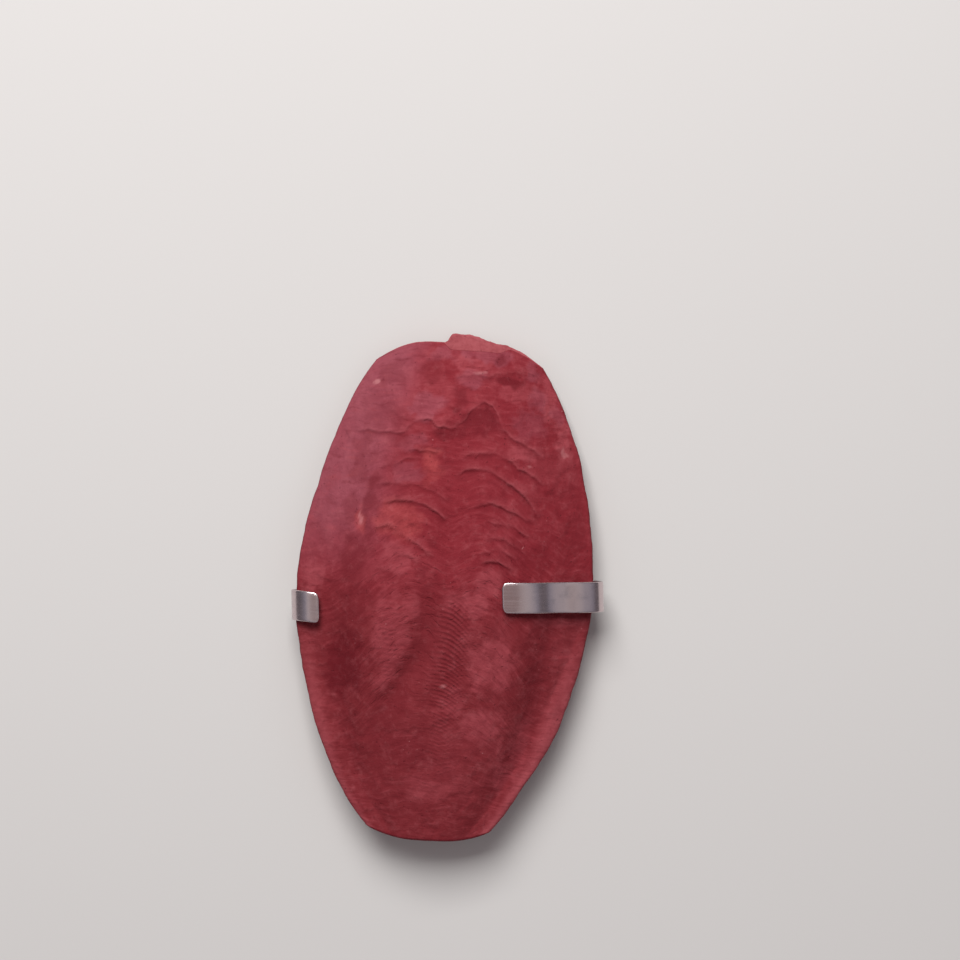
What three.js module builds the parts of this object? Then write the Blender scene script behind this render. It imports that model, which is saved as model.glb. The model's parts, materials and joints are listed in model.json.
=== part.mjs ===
// A dyed cuttlebone held in a bent aluminium strip, lying on its back.
//
// Millimetres, +Z up. +Y runs along the bone to its broad front end and +X to its right, seen from
// above. The bone's chalky, ridged underside faces up. The origin is on the surface that the object
// rests on, below the middle of its bounding box.

import * as THREE from "three";

const { clamp, degToRad, smoothstep } = THREE.MathUtils;

// Outline of the bone from above: two blunt curves that meet at its widest place, y = 0
const HALF_WIDTH = 29.5;
const LEAN = 0.01; // how far the middle line drifts to the right for each unit along the bone
// Flattened stretches of the left flank and of the right flank near the rear end
const DENTS = [
  { side: -1, depth: 0.8, y: 24, breadth: 13 },
  { side: 1, depth: 0.9, y: -39.5, breadth: 6 },
];
const DENT_POWER = 3; // how fast a flattened stretch fades towards the middle line
const REAR_END = -49.5;
const REAR_REACH = 53; // from the widest place to where the rear curve would close
const REAR_POWER = 1.65; // 2 would make the rear curve an ellipse
const REAR_CORNER = { depth: 1.8, power: 3.6, blend: 8 }; // how the worn rear end's corners stand back
const FRONT_END = 48.4;
const FRONT_REACH = 55.1;
const FRONT_POWER = 1.84;
const FRONT_CORNER = { depth: 4, power: 5.5, blend: 12 }; // how the snapped front end's corners stand back

// A splinter of the hard back that is left standing past the front end
const SPLINTER_LENGTH = 2;
const SPLINTER_THICKNESS = 1.3;
const SPLINTER_FROM = [-0.21, -0.1]; // across the front end, where -1 and 1 are its corners
const SPLINTER_TO = [0.1, 0.5];
const SNAP_SLOPE = 0.15; // how far the broken front face leans out from top to bottom
const SNAP_EDGE = [0.25, 0.6]; // how far the hard back stands past the end left and right of the splinter
const SNAP_TAPER = { share: 0.9, power: 6 }; // both shrink by this share towards the corners

// Thickness of the bone
const RIM_THICKNESS = 2.2;
const RIM_POWER = 30; // squareness of the rim's edge
const BACK_RADIUS = 75; // of the back across the bone
const BACK_POWER = 2.1; // 2 would make the back's section a plain arc
const KEEL_RADIUS = 290; // of the back along the bone
const KEEL_TOUCH = 22; // y where the back touches the surface below
const BELLY_RISE = 8.6; // of the underside above the rim, where it is thickest
const BELLY_CREST = 14; // y of the thickest place
const REAR_FALL = { share: 0.85, power: 1.6 }; // of the rise, lost towards the rear end
const FRONT_FALL = { share: 0.75, power: 2 }; // of the rise, lost towards the front end
const DOME_POWER = 2.9; // roundness of the underside across the bone
const DOME_SOFTNESS = 1.3; // above 1 the underside runs out softly into the brim
const BRIM_FRONT = 1; // width of the flat brim along the front half
const BRIM_REAR = 4.5; // width of the flat brim along the rear half
const BRIM_BLEND = [-5, 30]; // distances behind the widest place between which the brim widens
const BRIM_LIMIT = 3; // the brim takes at most one part in so many of the half width

// Hollows in the underside, as depth and half breadth
const GROOVES_FROM = [-4, 8]; // distances behind the widest place where the rear grooves deepen
const GROOVES_TO = [30, 45]; // and where they run out
const SULCUS = { depth: 1.1, breadth: 2.6, x: -2.4, drift: -8.5, driftOver: [7, 28] }; // rear groove
const FLANK = { depth: 0.8, breadth: 2.6, share: 0.72 }; // grooves beside the ridged part
const VALLEY = { depth: 0.6, breadth: 3, x: 1, from: [2, 12], to: [26, 34] }; // between the front lobes

// Growth plates, which overlap like tiles: each breaks off in a ledge that faces the rear end
const FIRST_LEDGE = 30.5; // y of the newest plate's broken edge
const LEDGES = [
  { along: FIRST_LEDGE, height: 0.7 },
  { along: 26, height: 0.36 },
  { along: 22, height: 0.4 },
  { along: 16.7, height: 0.42 },
  { along: 12.3, height: 0.36 },
  { along: 8.6, height: 0.36 },
  { along: 4.5, height: 0.3 },
  { along: 0.6, height: 0.22 },
  { along: -3.2, height: 0.16 },
];
const FINE_FROM = -6; // y of the first of the fine, crowded plates of the rear half
const FINE_TO = -43;
const FINE_SPACING = 1.5;
const FINE_HEIGHT = 0.12;
const LEDGE_OVERHANG = 0.15; // half the length of a ledge's slope
const LEDGE_FADE = [0.5, 0.82]; // shares of the half width between which ledges die out
const ARCH_DROP = 12; // how far a plate's edge sweeps back from the lobes to the rim
const ARCH_SHOULDER = [0.2, 0.85]; // shares of the half width where that sweep begins and ends
const ARCH_FROM = [REAR_END + 2, -10]; // places along the bone where the sweep sets in
const ARCH_TO = [12, FIRST_LEDGE + 1]; // and where it ends
const ARCH_NOTCH = { depth: 2.2, breadth: 0.1 }; // how the edge dips between the two lobes
const BITE = { height: 4.6, x: 7, breadth: 4.2, length: 7 }; // broken out of the newest plate's edge

// The clip: a flat strip folded over both edges of the bone
const CLIP_WIDTH = 6;
const CLIP_THICKNESS = 0.5;
const CLIP_Y = -2.6;
const CLIP_SKEW = degToRad(4.7); // the strip sits a little askew
const CLIP_FLAT = 9; // half length of the straight run under the bone
// Middle of the strip from the straight run out to each tip: along the strip, sideways, up
const LEFT_FOLD = [
  [-11, 0, 0.4], [-15, 0, 1.2], [-20, 0, 2.45], [-24, 0, 3.6], [-27, 0, 4.8], [-29.1, 0, 6.2],
  [-29.8, 0.1, 8.2], [-29.1, 0.1, 10.3], [-27, -0.1, 11.8], [-24.3, -0.5, 12.3],
];
const RIGHT_FOLD = [
  [11, 0, 0.4], [15, 0, 1.2], [20, 0, 2.45], [24, 0, 3.6], [27.5, 0, 4.9], [30.3, 0, 6.4],
  [31.3, 0, 8.5], [30.4, 0.05, 10.8], [27.5, 0.15, 12.3], [23.5, 0.3, 13.3], [20.6, 0.4, 14.3],
  [18, 0.5, 15.8], [14.8, 0.65, 16.7], [11.5, 0.8, 17],
];

// Fineness of the solids
const BELLY_COLUMNS = 32;
const BACK_COLUMNS = 16;
const REAR_ROWS = [0, 0.4, 1.2, 2.6, 4.6]; // distances of rows from the rear end
const FRONT_ROWS = [14, 10.5, 7.5, 5, 3, 1.4, 0.4, 0]; // distances of rows from the front end
const CLIP_STEPS = 26;

/** A smooth hump of height 1 at 0, with the given half breadth. */
function hump(distance, breadth) {
  return Math.exp(-((distance / breadth) ** 2));
}

/** Half the bone's breadth at a place along it. */
function halfWidth(y) {
  const [reach, power] = y < 0 ? [REAR_REACH, REAR_POWER] : [FRONT_REACH, FRONT_POWER];
  return HALF_WIDTH * Math.sqrt(1 - (Math.abs(y) / reach) ** power);
}

/** How far a flattened stretch of one flank pulls a place in, towards the middle line. */
function dented(across, y, { side, depth, y: middle, breadth }) {
  return -side * depth * hump(y - middle, breadth) * Math.max(side * across, 0) ** DENT_POWER;
}

/** Place across the bone of a share, on a middle line that leans, with the flanks flattened. */
function sideways(across, y) {
  const inward = DENTS.reduce((sum, dent) => sum + dented(across, y, dent), 0);
  return LEAN * y + across * halfWidth(y) + inward;
}

/** Height of the back's middle line, a long shallow arc. */
function keelHeight(y) {
  return (y - KEEL_TOUCH) ** 2 / (2 * KEEL_RADIUS);
}

/** How far the back's middle line hangs below the rim, from an arc across the bone. */
function backDepth(y) {
  return halfWidth(y) ** 2 / (2 * BACK_RADIUS);
}

/** Height of the middle of the rim. */
function rimHeight(y) {
  return keelHeight(y) + backDepth(y) + RIM_THICKNESS / 2;
}

/** Half the rim's thickness, rounded off at the very edge, where the share across reaches 1. */
function rimHalf(across) {
  return (RIM_THICKNESS / 2) * Math.sqrt(1 - Math.abs(across) ** RIM_POWER);
}

/** Rise of the underside's middle above the rim. */
function bellyRise(y) {
  const toFront = clamp((y - BELLY_CREST) / (FRONT_END - BELLY_CREST), 0, 1);
  const toRear = clamp((BELLY_CREST - y) / (BELLY_CREST - REAR_END), 0, 1);
  const lost = FRONT_FALL.share * toFront ** FRONT_FALL.power + REAR_FALL.share * toRear ** REAR_FALL.power;
  return BELLY_RISE * (1 - lost);
}

/** Depth of the hollows in the underside: the rear groove, the flank grooves and the front valley. */
function hollows(across, x, y) {
  const rear = smoothstep(-y, ...GROOVES_FROM) * (1 - smoothstep(-y, ...GROOVES_TO));
  const grooveX = SULCUS.x + SULCUS.drift * smoothstep(-y, ...SULCUS.driftOver);
  const toFlank = (Math.abs(across) - FLANK.share) * halfWidth(y);
  const front = smoothstep(y, ...VALLEY.from) * (1 - smoothstep(y, ...VALLEY.to));
  return (
    SULCUS.depth * rear * hump(x - grooveX, SULCUS.breadth) +
    FLANK.depth * rear * hump(toFlank, FLANK.breadth) +
    VALLEY.depth * front * hump(x - VALLEY.x, VALLEY.breadth)
  );
}

/** Height of the smooth underside, before its plates: a dome inside a brim, less the hollows. */
function bellyHeight(across, x, y) {
  const half = halfWidth(y);
  const brim = BRIM_FRONT + (BRIM_REAR - BRIM_FRONT) * smoothstep(-y, ...BRIM_BLEND);
  const toBrim = clamp((Math.abs(across) * half) / (half - Math.min(brim, half / BRIM_LIMIT)), 0, 1);
  const dome = (1 - toBrim ** DOME_POWER) ** DOME_SOFTNESS;
  return rimHeight(y) + rimHalf(across) + bellyRise(y) * dome - hollows(across, x, y);
}

/** Height of the smooth back: an arc across the bone below the rim. */
function backHeight(across, y) {
  return rimHeight(y) - rimHalf(across) - backDepth(y) * (1 - Math.abs(across) ** BACK_POWER);
}

/** How far the end of the bone stands back at a place across it, growing from nothing inside. */
function endRounding(along, across) {
  const rear = smoothstep(-along, -REAR_END - REAR_CORNER.blend, -REAR_END) * REAR_CORNER.depth;
  const front = smoothstep(along, FRONT_END - FRONT_CORNER.blend, FRONT_END) * FRONT_CORNER.depth;
  return rear * Math.abs(across) ** REAR_CORNER.power - front * Math.abs(across) ** FRONT_CORNER.power;
}

/** Place along the bone of a plate edge that crosses the lobes at a given place. */
function plateLine(along, across) {
  const sweep = smoothstep(along, ...ARCH_FROM) * (1 - smoothstep(along, ...ARCH_TO));
  const back = sweep * ARCH_DROP * smoothstep(Math.abs(across), ...ARCH_SHOULDER);
  const dip = sweep * ARCH_NOTCH.depth * hump(across - VALLEY.x / HALF_WIDTH, ARCH_NOTCH.breadth);
  const bite = BITE.height * hump(across * HALF_WIDTH - BITE.x, BITE.breadth);
  return along - back - dip + bite * hump(along - FIRST_LEDGE, BITE.length);
}

/** The coarse ledges of the front half and the fine ones of the rear half, from front to rear. */
function allLedges() {
  const count = Math.floor((FINE_FROM - FINE_TO) / FINE_SPACING) + 1;
  const fine = Array.from({ length: count }, (_, i) => FINE_FROM - i * FINE_SPACING);
  return [...LEDGES, ...fine.map((along) => ({ along, height: FINE_HEIGHT }))];
}

/** Share of the broken front end's length that is left at a place across it. */
function snapTaper(across) {
  return 1 - SNAP_TAPER.share * Math.abs(across) ** SNAP_TAPER.power;
}

/** How far the foot of the broken face stands past the front end at a place across it. */
function snapFoot(across) {
  return SNAP_SLOPE * snapTaper(across);
}

/** How far the hard back stands past the front end at a place across it. */
function splinter(across) {
  const begun = smoothstep(across, ...SPLINTER_FROM);
  const edge = SNAP_EDGE[0] + (SNAP_EDGE[1] - SNAP_EDGE[0]) * begun;
  const share = begun * (1 - smoothstep(across, ...SPLINTER_TO));
  return (edge + (SPLINTER_LENGTH - edge) * share) * snapTaper(across);
}

/**
 * Rows of the bone from rear to front, each with how far a ledge lifts or sinks it. The last two
 * are the foot of the broken front face and the edge of the hard back, which stand past the end.
 */
function boneRows() {
  const rear = REAR_ROWS.map((distance) => ({ along: REAR_END + distance, lift: 0 }));
  const ledges = allLedges().reverse().flatMap(({ along, height }) => [
    { along: along - LEDGE_OVERHANG, lift: -height / 2 },
    { along: along + LEDGE_OVERHANG, lift: height / 2 },
  ]);
  const front = FRONT_ROWS.map((distance) => ({ along: FRONT_END - distance, lift: 0 }));
  const broken = [snapFoot, splinter].map((past) => ({ along: FRONT_END, lift: 0, past }));
  return [...rear, ...ledges, ...front, ...broken];
}

/** Shares of the half width from one rim to the other, closer together towards the rims. */
function columns(count) {
  return Array.from({ length: count + 1 }, (_, i) => Math.sin(Math.PI * (i / count - 0.5)));
}

/** One ring round the bone: over the underside from left to right, then back under it. */
function boneRing({ along, lift, past }) {
  const belly = columns(BELLY_COLUMNS).map((across) => {
    const y = plateLine(along, across) + endRounding(along, across);
    const x = sideways(across, y);
    const ledge = lift * (1 - smoothstep(Math.abs(across), ...LEDGE_FADE));
    const whole = bellyHeight(across, x, y) + ledge;
    if (!past) return new THREE.Vector3(x, y, whole);
    const shelf = backHeight(across, y) + SPLINTER_THICKNESS;
    return new THREE.Vector3(x, y + past(across), Math.min(whole, shelf));
  });
  const back = columns(BACK_COLUMNS).slice(1, -1).reverse().map((across) => {
    const y = plateLine(along, 1) + endRounding(along, across);
    const x = sideways(across, y);
    return new THREE.Vector3(x, y + (past ? past(across) : 0), backHeight(across, y));
  });
  return [...belly, ...back];
}

/** Middle of the strip from tip to tip. */
function clipMiddle() {
  const spline = (points) => {
    const corners = points.map((point) => new THREE.Vector3(...point));
    return new THREE.CatmullRomCurve3(corners).getSpacedPoints(CLIP_STEPS);
  };
  const start = [CLIP_FLAT, 0, CLIP_THICKNESS / 2];
  const left = spline([[-start[0], start[1], start[2]], ...LEFT_FOLD]);
  const right = spline([start, ...RIGHT_FOLD]);
  return [...left.reverse(), ...right];
}

/** One ring round the strip: the corners of its section, square to the way that it runs. */
function clipRing(middle, i, all) {
  const from = all[Math.max(i - 1, 0)];
  const to = all[Math.min(i + 1, all.length - 1)];
  const way = new THREE.Vector3(to.x - from.x, 0, to.z - from.z).normalize();
  const flat = Math.abs(middle.x) <= CLIP_FLAT;
  const through = flat ? new THREE.Vector3(0, 0, 1) : new THREE.Vector3(-way.z, 0, way.x);
  return [[-1, -1], [1, -1], [1, 1], [-1, 1]].map(([side, face]) => {
    const corner = middle.clone().addScaledVector(through, (face * CLIP_THICKNESS) / 2);
    corner.y += (side * CLIP_WIDTH) / 2;
    return corner;
  });
}

/** A closed solid through rings of as many corners each, its ends closed as seen in a given plane. */
function loft(rings, flatten) {
  const count = rings[0].length;
  const points = rings.flat();
  const faces = [];
  for (let row = 0; row < rings.length - 1; row += 1) {
    for (let i = 0; i < count; i += 1) {
      const [a, b] = [row * count + i, row * count + ((i + 1) % count)];
      faces.push(a, b, b + count, a, b + count, a + count);
    }
  }
  [0, rings.length - 1].forEach((row) => {
    THREE.ShapeUtils.triangulateShape(rings[row].map(flatten), []).forEach((corners) => {
      if (row > 0) corners.reverse();
      faces.push(...corners.map((corner) => row * count + corner));
    });
  });
  const geometry = new THREE.BufferGeometry().setFromPoints(points);
  geometry.setIndex(faces);
  geometry.computeVertexNormals();
  return geometry;
}

/** The bone, dyed a dusty strawberry red. */
function makeBone() {
  const dyed = new THREE.MeshStandardMaterial({ color: 0x82353b, roughness: 0.9, metalness: 0 });
  const endOn = (corner) => new THREE.Vector2(corner.x, corner.z);
  const bone = new THREE.Mesh(loft(boneRows().map(boneRing), endOn), dyed);
  bone.name = "cuttlebone";
  return bone;
}

/** The strip, turned a little askew about the upright axis. */
function makeClip() {
  const metal = new THREE.MeshStandardMaterial({ color: 0xb9b4b2, roughness: 0.35, metalness: 1 });
  const endOn = (corner) => new THREE.Vector2(corner.y, corner.z);
  const clip = new THREE.Mesh(loft(clipMiddle().map(clipRing), endOn), metal);
  clip.name = "clip";
  clip.position.y = CLIP_Y;
  clip.rotation.z = CLIP_SKEW;
  return clip;
}

const cuttlebone = new THREE.Group();
cuttlebone.add(makeBone(), makeClip());
const box = new THREE.Box3().setFromObject(cuttlebone);
const middle = box.getCenter(new THREE.Vector3());
cuttlebone.position.set(-middle.x, -middle.y, -box.min.z);

export default cuttlebone;
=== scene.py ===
"""Looks of a dyed cuttlebone held in a bent aluminium strip, lying on its back on a pale floor.

Pieces are worked out in millimetres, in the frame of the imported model, and put into meshes in metres.
Along the bone is +Y, towards its broad front end. Its ridged underside, the belly, faces up.
"""

import json
import logging
import math
from dataclasses import dataclass
from enum import Enum, IntEnum

import bpy
import numpy as np
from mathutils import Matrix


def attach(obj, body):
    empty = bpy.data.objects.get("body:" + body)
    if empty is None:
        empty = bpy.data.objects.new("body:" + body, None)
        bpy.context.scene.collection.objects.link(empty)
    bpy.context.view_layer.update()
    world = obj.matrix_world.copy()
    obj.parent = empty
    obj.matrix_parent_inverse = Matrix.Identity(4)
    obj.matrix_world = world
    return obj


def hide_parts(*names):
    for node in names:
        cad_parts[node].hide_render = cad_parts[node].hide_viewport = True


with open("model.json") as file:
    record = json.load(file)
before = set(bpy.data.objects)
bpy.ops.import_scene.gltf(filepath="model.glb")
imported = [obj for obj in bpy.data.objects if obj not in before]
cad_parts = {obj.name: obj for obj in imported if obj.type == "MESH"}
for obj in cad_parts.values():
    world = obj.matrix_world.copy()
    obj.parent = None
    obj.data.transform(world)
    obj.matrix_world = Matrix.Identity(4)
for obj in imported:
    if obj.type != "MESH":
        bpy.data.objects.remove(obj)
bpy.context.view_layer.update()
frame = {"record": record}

LOG = logging.getLogger("cuttlebone")
MM = 0.001
BODY = "root"

# The whole-number jumble behind the noise: what columns, rows and seeds count for, and its two stirs
SCATTER_FACTORS = (374761393, 668265263, 69069)
SCATTER_STIRS = ((13, 1274126177), (16, 2246822519))
LOW_BITS = 0xFFFFFFFF
TOP_BITS = 0xFFFFFF
RIPPLE_GAIN = 1.5
OCTAVE_SEED_STEP = 17
CURVE_FINENESS = 40

Colour = tuple[float, float, float]
Point = tuple[float, float, float]
Span = tuple[float, float]
Levels = tuple[float, float, float]


class Seed(IntEnum):
    """Patterns of the noise that shapes the bone."""

    WANDER = 11
    JAG = 23
    BREAK = 41
    RIM = 61
    SWELL = 71
    CREASE = 83
    PATCH_TEAR = 91
    SPLINTER = 101
    SNAPPED_FACE = 111
    STRIA = 131
    LOWER_FLAKES = 141
    FLAKE_TEAR = 151
    UPPER_FLAKES = 161
    BEND_ACROSS = 211
    BEND_ALONG = 223
    PITS = 301


def smoothstep(value: np.ndarray, low: float, high: float) -> np.ndarray:
    """Eases from 0 to 1 as a value goes from low to high.

    Args:
        value: The values to ease.
        low: Where the rise begins.
        high: Where the rise ends.

    Returns:
        The eased values, 3t squared less 2t cubed with t the clipped share of the way.
    """
    share = np.clip((value - low) / (high - low), 0.0, 1.0)
    return share * share * (3.0 - 2.0 * share)


def hump(distance: np.ndarray, breadth: float) -> np.ndarray:
    """A bell of height 1 at distance 0, with the given half breadth."""
    return np.exp(-np.square(distance / breadth))


def tint(red: int, green: int, blue: int) -> Colour:
    """A colour as seen on screen, from 0 to 255, turned into linear light.

    Args:
        red: Red on screen.
        green: Green on screen.
        blue: Blue on screen.

    Returns:
        The three linear values.
    """
    def linear(channel: int) -> float:
        """One channel's linear value, by the standard screen curve."""
        share = channel / 255.0
        return share / 12.92 if share <= 0.04045 else ((share + 0.055) / 1.055) ** 2.4

    return linear(red), linear(green), linear(blue)


def scatter(column: np.ndarray, row: np.ndarray, seed: int) -> np.ndarray:
    """A fixed jumble of whole numbers, for noise that is the same on every run.

    Args:
        column: Whole lattice columns.
        row: Whole lattice rows.
        seed: Picks one jumble among many.

    Returns:
        Values from 0 to 1, with no visible order.
    """
    by_column, by_row, by_seed = SCATTER_FACTORS
    mixed = column.astype(np.int64) * by_column + row.astype(np.int64) * by_row + seed * by_seed
    mixed = mixed & LOW_BITS
    for shift, factor in SCATTER_STIRS:
        mixed = ((mixed ^ (mixed >> shift)) * factor) & LOW_BITS
    return (mixed >> 8).astype(float) / TOP_BITS


def ripple(x: np.ndarray, y: np.ndarray, size: float, seed: int) -> np.ndarray:
    """Smooth random bumps: each lattice corner leans its own way, and the four leanings are eased together.

    Args:
        x: Places across.
        y: Places along.
        size: Breadth of one bump.
        seed: Picks one pattern among many.

    Returns:
        Heights from about -1 to 1.
    """
    across, along = x / size, y / size
    column, row = np.floor(across), np.floor(along)
    part_x, part_y = across - column, along - row
    ease_x = part_x**3 * (part_x * (part_x * 6.0 - 15.0) + 10.0)
    ease_y = part_y**3 * (part_y * (part_y * 6.0 - 15.0) + 10.0)

    def lean(step_x: int, step_y: int) -> np.ndarray:
        """Height at each place of the slope through one lattice corner."""
        turn = 2.0 * math.pi * scatter(column + step_x, row + step_y, seed)
        return np.cos(turn) * (part_x - step_x) + np.sin(turn) * (part_y - step_y)

    near = lean(0, 0) + (lean(1, 0) - lean(0, 0)) * ease_x
    far = lean(0, 1) + (lean(1, 1) - lean(0, 1)) * ease_x
    return RIPPLE_GAIN * (near + (far - near) * ease_y)


def rough(x: np.ndarray, y: np.ndarray, size: float, seed: int, octaves: int = 4) -> np.ndarray:
    """Ripples on ripples: each octave is half as broad and half as high as the last.

    Args:
        x: Places across.
        y: Places along.
        size: Breadth of the largest bumps.
        seed: Picks one pattern among many.
        octaves: How many layers of ripples.

    Returns:
        Heights from about -1 to 1.
    """
    layers = [ripple(x, y, size / 2**i, seed + OCTAVE_SEED_STEP * i) / 2**i for i in range(octaves)]
    return sum(layers) / RIPPLE_GAIN


def smooth_curve(points: np.ndarray, steps: int) -> np.ndarray:
    """A smooth curve through points, in even steps.

    Args:
        points: The points, one a row.
        steps: How many steps to take.

    Returns:
        Places along cubic pieces whose slope at each point is that of its two neighbours, with knots a
        root of a chord apart.
    """
    chords = np.sqrt(np.linalg.norm(np.diff(points, axis=0), axis=1))
    knots = np.concatenate([[0.0], np.cumsum(chords)])
    slopes = np.gradient(points, knots, axis=0)
    fine = np.linspace(0.0, knots[-1], CURVE_FINENESS * steps)
    piece = np.clip(np.searchsorted(knots, fine, side="right") - 1, 0, len(chords) - 1)
    gap = chords[piece][:, None]
    share = (fine[:, None] - knots[piece][:, None]) / gap
    curve = (
        (1.0 + 2.0 * share) * (1.0 - share) ** 2 * points[piece]
        + share * (1.0 - share) ** 2 * gap * slopes[piece]
        + share**2 * (3.0 - 2.0 * share) * points[piece + 1]
        + share**2 * (share - 1.0) * gap * slopes[piece + 1]
    )
    length = np.concatenate([[0.0], np.cumsum(np.linalg.norm(np.diff(curve, axis=0), axis=1))])
    even = np.linspace(0.0, length[-1], steps + 1)
    return np.stack([np.interp(even, length, axis) for axis in curve.T], axis=1)


def make_mesh(
    name: str,
    points: np.ndarray,
    faces: list[np.ndarray],
    values: dict[str, np.ndarray],
) -> bpy.types.Object:
    """Puts points and faces into a smooth mesh object at the origin.

    Args:
        name: The object's name.
        points: Places of the corners, one row each, in millimetres.
        faces: Corner numbers of each group of faces, one face a row.
        values: Numbers carried by the corners, by attribute name.

    Returns:
        The new object, linked to the scene.
    """
    mesh = bpy.data.meshes.new(name)
    mesh.vertices.add(len(points))
    mesh.vertices.foreach_set("co", (points * MM).astype(np.float32).ravel())
    corners = np.concatenate([group.ravel() for group in faces]).astype(np.int32)
    sizes = np.concatenate([np.full(len(group), group.shape[1]) for group in faces])
    starts = np.concatenate([[0], np.cumsum(sizes)[:-1]]).astype(np.int32)
    mesh.loops.add(len(corners))
    mesh.loops.foreach_set("vertex_index", corners)
    mesh.polygons.add(len(starts))
    mesh.polygons.foreach_set("loop_start", starts)
    mesh.polygons.foreach_set("use_smooth", np.ones(len(starts), dtype=bool))
    mesh.update(calc_edges=True)
    for key, numbers in values.items():
        attribute = mesh.attributes.new(key, "FLOAT", "POINT")
        attribute.data.foreach_set("value", numbers.astype(np.float32).ravel())
    piece = bpy.data.objects.new(name, mesh)
    bpy.context.scene.collection.objects.link(piece)
    return piece


def ring_faces(rows: int, columns: int) -> np.ndarray:
    """Four-cornered faces between neighbouring rings of a tube.

    Args:
        rows: How many rings there are.
        columns: How many corners each ring has.

    Returns:
        Corner numbers, one face a row, facing out of rings that turn clockwise seen along the rows.
    """
    row, column = np.meshgrid(np.arange(rows - 1), np.arange(columns), indexing="ij")
    here = row * columns + column
    beside = row * columns + (column + 1) % columns
    return np.stack([here, beside, beside + columns, here + columns], axis=-1).reshape(-1, 4)


class Operation(Enum):
    """What a Math node does."""

    ADD = "ADD"
    SUBTRACT = "SUBTRACT"
    MULTIPLY = "MULTIPLY"
    SINE = "SINE"


class Wire:
    """A socket that carries a number. An expression on wires adds its Math nodes."""

    def __init__(self, shader: "Shader", socket: bpy.types.NodeSocket) -> None:
        """Keeps the socket and the shader that it belongs to."""
        self.shader = shader
        self.socket = socket

    def __add__(self, other: "Wire | float") -> "Wire":
        """This number plus another."""
        return self.shader.math(Operation.ADD, self, other)

    def __radd__(self, other: float) -> "Wire":
        """Another number plus this one."""
        return self.shader.math(Operation.ADD, other, self)

    def __sub__(self, other: "Wire | float") -> "Wire":
        """This number less another."""
        return self.shader.math(Operation.SUBTRACT, self, other)

    def __rsub__(self, other: float) -> "Wire":
        """Another number less this one."""
        return self.shader.math(Operation.SUBTRACT, other, self)

    def __mul__(self, other: "Wire | float") -> "Wire":
        """This number times another."""
        return self.shader.math(Operation.MULTIPLY, self, other)

    def __rmul__(self, other: float) -> "Wire":
        """Another number times this one."""
        return self.shader.math(Operation.MULTIPLY, other, self)


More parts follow.
